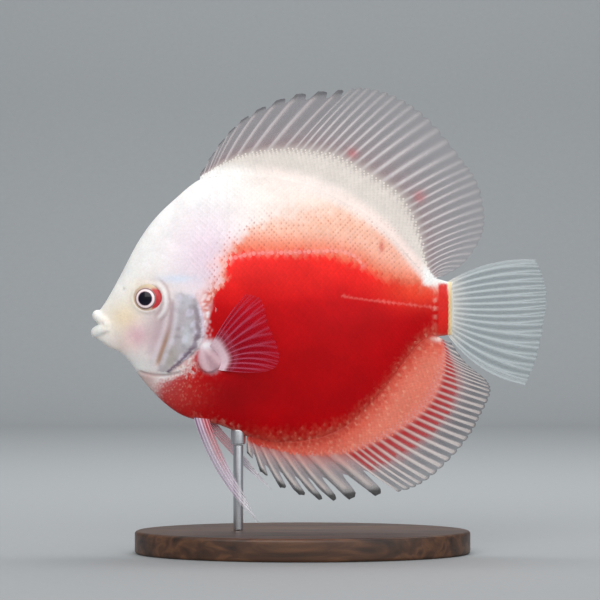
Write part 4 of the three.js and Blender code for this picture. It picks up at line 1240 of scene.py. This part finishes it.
# Scales: thin plates of bone, each rooted in the skin and lapped over the next like roof tiles, from
# the shoulder to the tail and out over the sheaths of the dorsal and anal fin. Each is a little darker
# towards its free edge, partly its own margin and partly painted shade standing in for its relief.
COLUMN_STEP = 0.86  # between one upright row of scales and the next, half a scale apart
ROW_STEP = 2.15  # between two scales of one upright row
LAP_ALONG, LAP_ACROSS = 1.42, 0.8  # half length and half width of a scale for each step
YOUNG = 0.6  # size of the scales where the scaled part begins, against the full size
GROWN_OVER = 6  # how far behind that the scales have their full size
SUNK = 0.05  # how deep the smallest scales sit in the skin
SHEATH_COLUMN, SHEATH_ROW = 0.78, 1.68
SHEATH_SCALE = (1.3, 1.0)
OUTLINE_POINTS = 10
PLATE_THICK = 0.05
PATCH_HALF = 0.0015  # half width of a scale's patch on the unwrapped skin
DOT_RED = linear(182, 54, 54)
COAT_RANDOM = np.random.default_rng(41)
SCALED_FROM = through([
    (-43, -56), (-33, -54), (-26, -50), (-18, -42.5), (-9, -39.8), (0, -40.8), (5, -43),
    (12, -49), (24, -48), (36, -45), (44, -42),
])


def flank_point(s, x, v):
    """A point of the flank at x, v of the way from mid-depth to the back or the belly."""
    middle, half = (back_z(x) + belly_z(x)) / 2, (back_z(x) - belly_z(x)) / 2
    return np.stack([x, s * breadth_at(x, v), middle + half * v], -1)


def row_columns(start, end):
    """Places along the body, closer together at the chest and the tail stalk."""
    places = [start]
    while places[-1] < end:
        at = places[-1]
        crowding = mix(0.7, 1, step(at, -56, -36)) * mix(1, 0.75, step(at, 28, 44))
        places.append(at + COLUMN_STEP * float(crowding))
    return np.array(places)


def run_of(points):
    """Distance along a line of points from its first one."""
    return np.concatenate([[0], np.cumsum(np.linalg.norm(np.diff(points, axis=0), axis=1))])


def flank_lattice(s):
    """Roots of the scales of one flank, their direction to the tail, size, and unwrapped place."""
    roots, aims, sizes, spread = [], [], [], []
    columns = row_columns(-57, 46.5)
    table = np.cos(np.linspace(0, math.pi, 400)) * 0.997
    for n, x in enumerate(columns):
        width = (columns[min(n + 1, len(columns) - 1)] - columns[max(n - 1, 0)]) / 2
        points = flank_point(s, np.full(400, x), table)
        lengths = run_of(points)
        reference = 8 - 0.0035 * (x + 5) ** 2
        zero = np.interp(-reference, -points[:, 2], lengths)
        for k in range(-32, 33):
            offset = 0.25 if n % 2 else -0.25
            row = (k + offset) * ROW_STEP
            row = row * (1 - 0.12 * min(1, abs(row) / 50) ** 2)
            place = zero - row
            if not 0.4 < place < lengths[-1] - 0.4:
                continue
            v = np.interp(place, lengths, table)
            z = float((back_z(x) + belly_z(x)) / 2 + (back_z(x) - belly_z(x)) / 2 * v)
            past_stalk = x > 44 and abs(z + 3) > 8.5
            if x < SCALED_FROM(z) or from_lobe(x, z) < 1 or past_stalk:
                continue
            ahead = flank_point(s, np.array([x - 0.4, x + 0.4]), np.array([v, v]))
            roots.append(flank_point(s, np.array(x), np.array(v)))
            aims.append(ahead[1] - ahead[0])
            grown = float(step(x - SCALED_FROM(z), 0, GROWN_OVER))
            size = mix(YOUNG, 1, grown)
            sizes.append((width * LAP_ALONG * size, ROW_STEP * LAP_ACROSS * size, SUNK * (1 - grown)))
            spread.append((0.02 + (x + 58) / 108 * 0.96, 0.5 + row / 140))
    return np.array(roots), np.array(aims), np.array(sizes), np.array(spread)


def sheath_lattice(rays, bury):
    """Roots of the small scales on both faces of a fin's sheath, lying out along its rays."""
    fine = np.linspace(0.25, len(rays) - 1.25, 600)
    rays = [[(f[0], f[1] + bury), m, t] for f, m, t in rays]
    _, knee = ray_fan(rays, fine, np.full(600, 0.6))
    half_way, _ = ray_fan(rays, fine, knee * 0.6)
    lengths = run_of(half_way)
    stations = np.linspace(0, 1, 40)
    roots, aims, sizes, spread = [], [], [], []
    for n, length in enumerate(np.arange(0.5, lengths[-1], SHEATH_COLUMN)):
        place = float(np.interp(length, lengths, fine))
        line, _ = ray_fan(rays, np.full(40, place), stations)
        run = run_of(line)
        knee_run = np.interp(np.interp(place, fine, knee), stations, run)
        first = 0.9 + (0.42 if n % 2 else -0.42)
        for reach in np.arange(first, knee_run * 0.92, SHEATH_ROW):
            u = np.interp(reach, run, stations)
            here, _ = ray_fan(rays, np.array([place, place]), np.array([u, u + 0.01]))
            small = mix(1, 0.45, float(step(reach / knee_run, 0.5, 0.9)))
            for face in (-1, 1):
                roots.append((here[0, 0], face * 0.9, here[0, 1]))
                aims.append((here[1, 0] - here[0, 0], 0, here[1, 1] - here[0, 1]))
                sizes.append((SHEATH_SCALE[0] * small, SHEATH_SCALE[1] * small, 0.02 * (1 - small)))
                along = 0.02 + 0.46 * length / lengths[-1] + (0.5 if face > 0 else 0)
                spread.append((along, 0.1 + reach / 20))
    return np.array(roots), np.array(aims), np.array(sizes), np.array(spread)


def plate_shape():
    """One scale of half length and half width 1: its rim and middle, their lift, and its faces."""
    turn = np.linspace(0, 2 * math.pi, OUTLINE_POINTS, endpoint=False)
    rim_x = 0.86 * np.cos(turn) * (1 + 0.08 * np.cos(2 * turn))
    rim_y = 0.74 * np.sin(turn) * (1 - 0.12 * np.cos(turn))
    spots = np.stack([np.append(rim_x, 0.05), np.append(rim_y, 0)], 1)
    lift = np.append(0.014 + 0.022 * rim_x, 0.017)
    k = np.arange(OUTLINE_POINTS)
    k1 = (k + 1) % OUTLINE_POINTS
    n = OUTLINE_POINTS
    under = n + 1
    faces = np.concatenate([
        np.stack([np.full(n, n), k, k1], 1), np.stack([np.full(n, under + n), under + k1, under + k], 1),
        np.stack([k, under + k, under + k1], 1), np.stack([k, under + k1, k1], 1),
    ])
    return spots, lift, faces


def speckle(x, z):
    """Where a scale bears a dark red dot at its free edge: the orange back and ahead of the red."""
    back = step(ORANGE_TOP(x) - z, -4, 3) * step(z - RED_TOP(x), -1, 1.5)
    back = back * step(x, -36, -26) * step(x, 36, 24)
    ahead = x - RED_FRONT(z)
    front = step(ahead, -10, -3) * step(ahead, 1.0, -0.5) * step(z, -8, 0) * step(z, 34, 24)
    return np.clip(0.7 * back + 1.3 * front, 0, 1)


def surface_of(places, faces):
    """A surface that the nearest point and its direction can be asked of."""
    return BVHTree.FromPolygons(places.tolist(), faces.tolist())


def surface_of_piece(piece):
    places = np.zeros(len(piece.data.vertices) * 3)
    piece.data.vertices.foreach_get("co", places)
    faces = np.array([p.vertices[:] for p in piece.data.polygons])
    return surface_of(places.reshape(-1, 3) / MILLIMETRE - FISH_PLACE, faces)


def laid_plates(surface, roots, aims, sizes, raised):
    """Moves roots to the surface, and gives the top and under points of a plate grown from each."""
    count = len(roots)
    outs = np.zeros((count, 3))
    for n, root in enumerate(roots):
        roots[n], outs[n], _, _ = surface.find_nearest(Vector(root))
    aims = aims - outs * (aims * outs).sum(1)[:, None]
    aims /= np.linalg.norm(aims, axis=1)[:, None]
    across = np.cross(outs, aims)
    spots, lift, _ = plate_shape()
    swell = COAT_RANDOM.uniform(0.94, 1.06, count)
    roll = COAT_RANDOM.uniform(-0.05, 0.05, count)
    aims_turned = aims * np.cos(roll)[:, None] + across * np.sin(roll)[:, None]
    across_turned = across * np.cos(roll)[:, None] - aims * np.sin(roll)[:, None]
    along_reach = (sizes[:, 0] * swell)[:, None, None] * spots[None, :, :1] * aims_turned[:, None]
    across_reach = (sizes[:, 1] * swell)[:, None, None] * spots[None, :, 1:] * across_turned[:, None]
    flat = roots[:, None] + along_reach + across_reach
    top = np.zeros_like(flat)
    normals = np.zeros_like(flat)
    for spot in np.ndindex(count, len(spots)):
        top[spot], normals[spot], _, _ = surface.find_nearest(flat[spot])
    top = top + normals * (lift[None, :] + raised - sizes[:, 2:])[..., None]
    return flat, np.concatenate([top, top - normals * PLATE_THICK], 1)


def plate_colours(roots, flat, colouring, dots):
    """Markings of the hide on each plate, set a little apart, darker towards the free edge, or with a
    red dot.
    """
    spots, _, _ = plate_shape()
    grain = COAT_RANDOM.uniform(-1, 1, len(roots))
    seen = mix(roots[:, None], flat, 0.7)
    colours = colouring(seen[..., 0], seen[..., 2], np.repeat(grain[:, None], len(spots), 1))
    colours = colours * (1 + 0.03 * COAT_RANDOM.uniform(-1, 1, len(roots)))[:, None, None]
    # Painted shade: darker towards the free edge, partly the scale's own margin and partly standing in
    # for the shading of its relief.
    colours = colours * (1.02 - 0.1 * np.clip(spots[:, 0], 0, 1))[:, None]
    dotted = speckle(roots[:, 0], roots[:, 2]) * step(grain, -0.8, 0.9) * dots
    colours[:, 0] = mix(colours[:, 0], DOT_RED, 0.8 * dotted[:, None])
    return np.concatenate([colours, colours], 1)


def coat(name, surface, lattice, colouring, raised=0.0):
    """Lays one plate at each root of a lattice, bent to the surface that it grows from.

    The lattice holds roots, directions, sizes with how deep each plate is sunk, and places on the
    unwrapped skin. Plates raised over the others are the pored ones, which bear no dots.
    """
    roots, aims, sizes, spread = lattice
    flat, places = laid_plates(surface, roots, aims, sizes, raised)
    spots, _, plate_faces = plate_shape()
    first = np.arange(len(roots)) * places.shape[1]
    faces = (plate_faces[None] + first[:, None, None]).reshape(-1, 3)
    piece = mesh_object(name, room(places.reshape(-1, 3)), faces, smooth=False)
    paint(piece, plate_colours(roots, flat, colouring, raised == 0))
    bake_map = piece.data.uv_layers.new(name="OFBake")
    patch_at = spread[:, None] + np.concatenate([spots, spots])[None] * PATCH_HALF
    bake_map.data.foreach_set("uv", patch_at.reshape(-1, 2)[faces.ravel()].astype(np.float32).ravel())
    piece.data.materials.append(scale_plate)
    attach(piece, "root")


def lateral_lattice(s):
    """Pored plates of the lateral line: upright ones a step apart, and slim ones that join them."""
    joints = curve(LATERAL_LINE, np.linspace(0, len(LATERAL_LINE) - 1, 400))
    lengths = np.concatenate([[0], np.cumsum(np.hypot(*np.diff(joints, axis=0).T))])
    roots, aims, sizes, spread = [], [], [], []
    for n, length in enumerate(np.arange(0, lengths[-1], LATERAL_STEP / 2)):
        x, z = (np.interp(length, lengths, joints[:, k]) for k in (0, 1))
        ahead_x, ahead_z = (np.interp(length + 0.5, lengths, joints[:, k]) for k in (0, 1))
        roots.append((x, s * float(flank_y(x, z)), z))
        aims.append((ahead_x - x + 1e-3, 0, ahead_z - z))
        fade = float(step(lengths[-1] - length, 0, 8))
        sizes.append((0.85, mix(0.6, 1.1, fade), 0) if n % 2 else (1.25, 0.22, 0.02))
        spread.append((0.05 + 0.9 * length / lengths[-1], 0.03))
    return np.array(roots), np.array(aims), np.array(sizes), np.array(spread)


def lateral_colours(x, z, grain):
    """Markings of the hide, paler and rosier on the pored plates."""
    return mix(markings(x, z, grain), linear(250, 172, 170), 0.42)


scale_plate = flesh_material("scale_plate", roughness=0.4, depth=0)
skin_surface = surface_of(skin_at, quads)
for name, s in (("left", -1), ("right", 1)):
    coat("scales_flank_" + name, skin_surface, flank_lattice(s), markings)
    coat("lateral_line_" + name, skin_surface, lateral_lattice(s), lateral_colours, 0.03)
for name, piece, rays, bury in (
    ("dorsal", dorsal, DORSAL_RAYS, DORSAL_BURY),
    ("anal", anal, ANAL_RAYS, ANAL_BURY),
):
    lattice = sheath_lattice(rays, bury)
    coat("scales_sheath_" + name, surface_of_piece(piece), lattice, markings)

# Stand: an oval foot of dark oiled wood and a brushed steel rod, all turned with softened edges. The
# rod ends in a small collar that is glued to the belly.
def turned(name, centre, profile, node, slot, material):
    """A body turned about an upright line: profile holds (x reach, y reach, height) in mm."""
    across, deep, level = np.array(profile).T
    turn = np.linspace(0, 2 * math.pi, 96, endpoint=False)
    rings = np.stack([
        centre[0] + across[:, None] * np.cos(turn), centre[1] + deep[:, None] * np.sin(turn),
        np.repeat(level[:, None], len(turn), 1),
    ], 2)
    places, faces = closed_grid(rings)
    made = mesh_object(name, places * MILLIMETRE, faces)
    made.data.materials.append(material)
    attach(made, "root")
    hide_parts(node)


def rounded(reach, bottom, top, edge):
    """A profile straight up from bottom to top with both edges rounded."""
    bend = np.linspace(0, math.pi / 2, 8)
    inner = np.linspace(0.02, 0.98, 7) * (1 - edge / min(reach))
    rows = [(reach[0] * k, reach[1] * k, bottom) for k in inner]
    for b in bend:
        drawn_in = edge * (1 - math.sin(b))
        rows.append((reach[0] - drawn_in, reach[1] - drawn_in, bottom + edge * (1 - math.cos(b))))
    rows.append((reach[0], reach[1], mix(bottom + edge, top - edge, 0.5)))
    for b in bend:
        drawn_in = edge * (1 - math.cos(b))
        rows.append((reach[0] - drawn_in, reach[1] - drawn_in, top - edge * (1 - math.sin(b))))
    return rows + [(reach[0] * k, reach[1] * k, top) for k in inner[::-1]]


def oiled_wood():
    """Dark oiled wood with long grain."""
    made, nodes, links, shader = node_material("oiled_wood")
    place, stretch = nodes.new("ShaderNodeTexCoord"), nodes.new("ShaderNodeMapping")
    stretch.inputs["Scale"].default_value = (22, 260, 200)
    grain, tone = nodes.new("ShaderNodeTexNoise"), nodes.new("ShaderNodeValToRGB")
    grain.inputs["Scale"].default_value = 1
    grain.inputs["Detail"].default_value = 8
    grain.inputs["Distortion"].default_value = 0.6
    links.new(place.outputs["Object"], stretch.inputs["Vector"])
    links.new(stretch.outputs["Vector"], grain.inputs["Vector"])
    links.new(grain.outputs["Fac"], tone.inputs["Fac"])
    fill_ramp(tone, [
        (0.3, (38, 24, 16)), (0.48, (72, 46, 30)), (0.6, (98, 64, 42)), (0.72, (60, 38, 25)),
    ])
    links.new(tone.outputs["Color"], shader.inputs["Base Color"])
    grained(nodes, links, shader, grain.outputs["Fac"], 0.3, 0.0003)
    shader.inputs["Roughness"].default_value = 0.42
    return made


def brushed_steel():
    """Steel brushed round the rod."""
    made, nodes, links, shader = node_material("brushed_steel")
    place, stretch = nodes.new("ShaderNodeTexCoord"), nodes.new("ShaderNodeMapping")
    stretch.inputs["Scale"].default_value = (300, 300, 9000)
    lines, rough = nodes.new("ShaderNodeTexNoise"), nodes.new("ShaderNodeMapRange")
    lines.inputs["Scale"].default_value = 1
    lines.inputs["Detail"].default_value = 5
    rough.inputs["To Min"].default_value, rough.inputs["To Max"].default_value = 0.24, 0.46
    tone = nodes.new("ShaderNodeValToRGB")
    tone.color_ramp.elements[0].color = (0.42, 0.43, 0.45, 1)
    tone.color_ramp.elements[1].color = (0.66, 0.67, 0.69, 1)
    links.new(place.outputs["Object"], stretch.inputs["Vector"])
    links.new(stretch.outputs["Vector"], lines.inputs["Vector"])
    links.new(lines.outputs["Fac"], rough.inputs["Value"])
    links.new(rough.outputs["Result"], shader.inputs["Roughness"])
    links.new(lines.outputs["Fac"], tone.inputs["Fac"])
    links.new(tone.outputs["Color"], shader.inputs["Base Color"])
    shader.inputs["Metallic"].default_value = 1
    return made


steel = brushed_steel()
for node, slot, material, edge in (
    ("stand_base", "stand_wood", oiled_wood(), 1.2),
    ("stand_rod", "stand_steel", steel, 0.2),
    ("stand_collar", "stand_steel", steel, 0.4),
):
    low, high = (np.array(corner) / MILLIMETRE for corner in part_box(node))
    profile = rounded((high - low)[:2] / 2, low[2], high[2], edge)
    turned(node + "_turned", (high + low)[:2] / 2, profile, node, slot, material)

low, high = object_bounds()
{"cad": [list(cad_low), list(cad_high)], "model": [list(low), list(high)]}
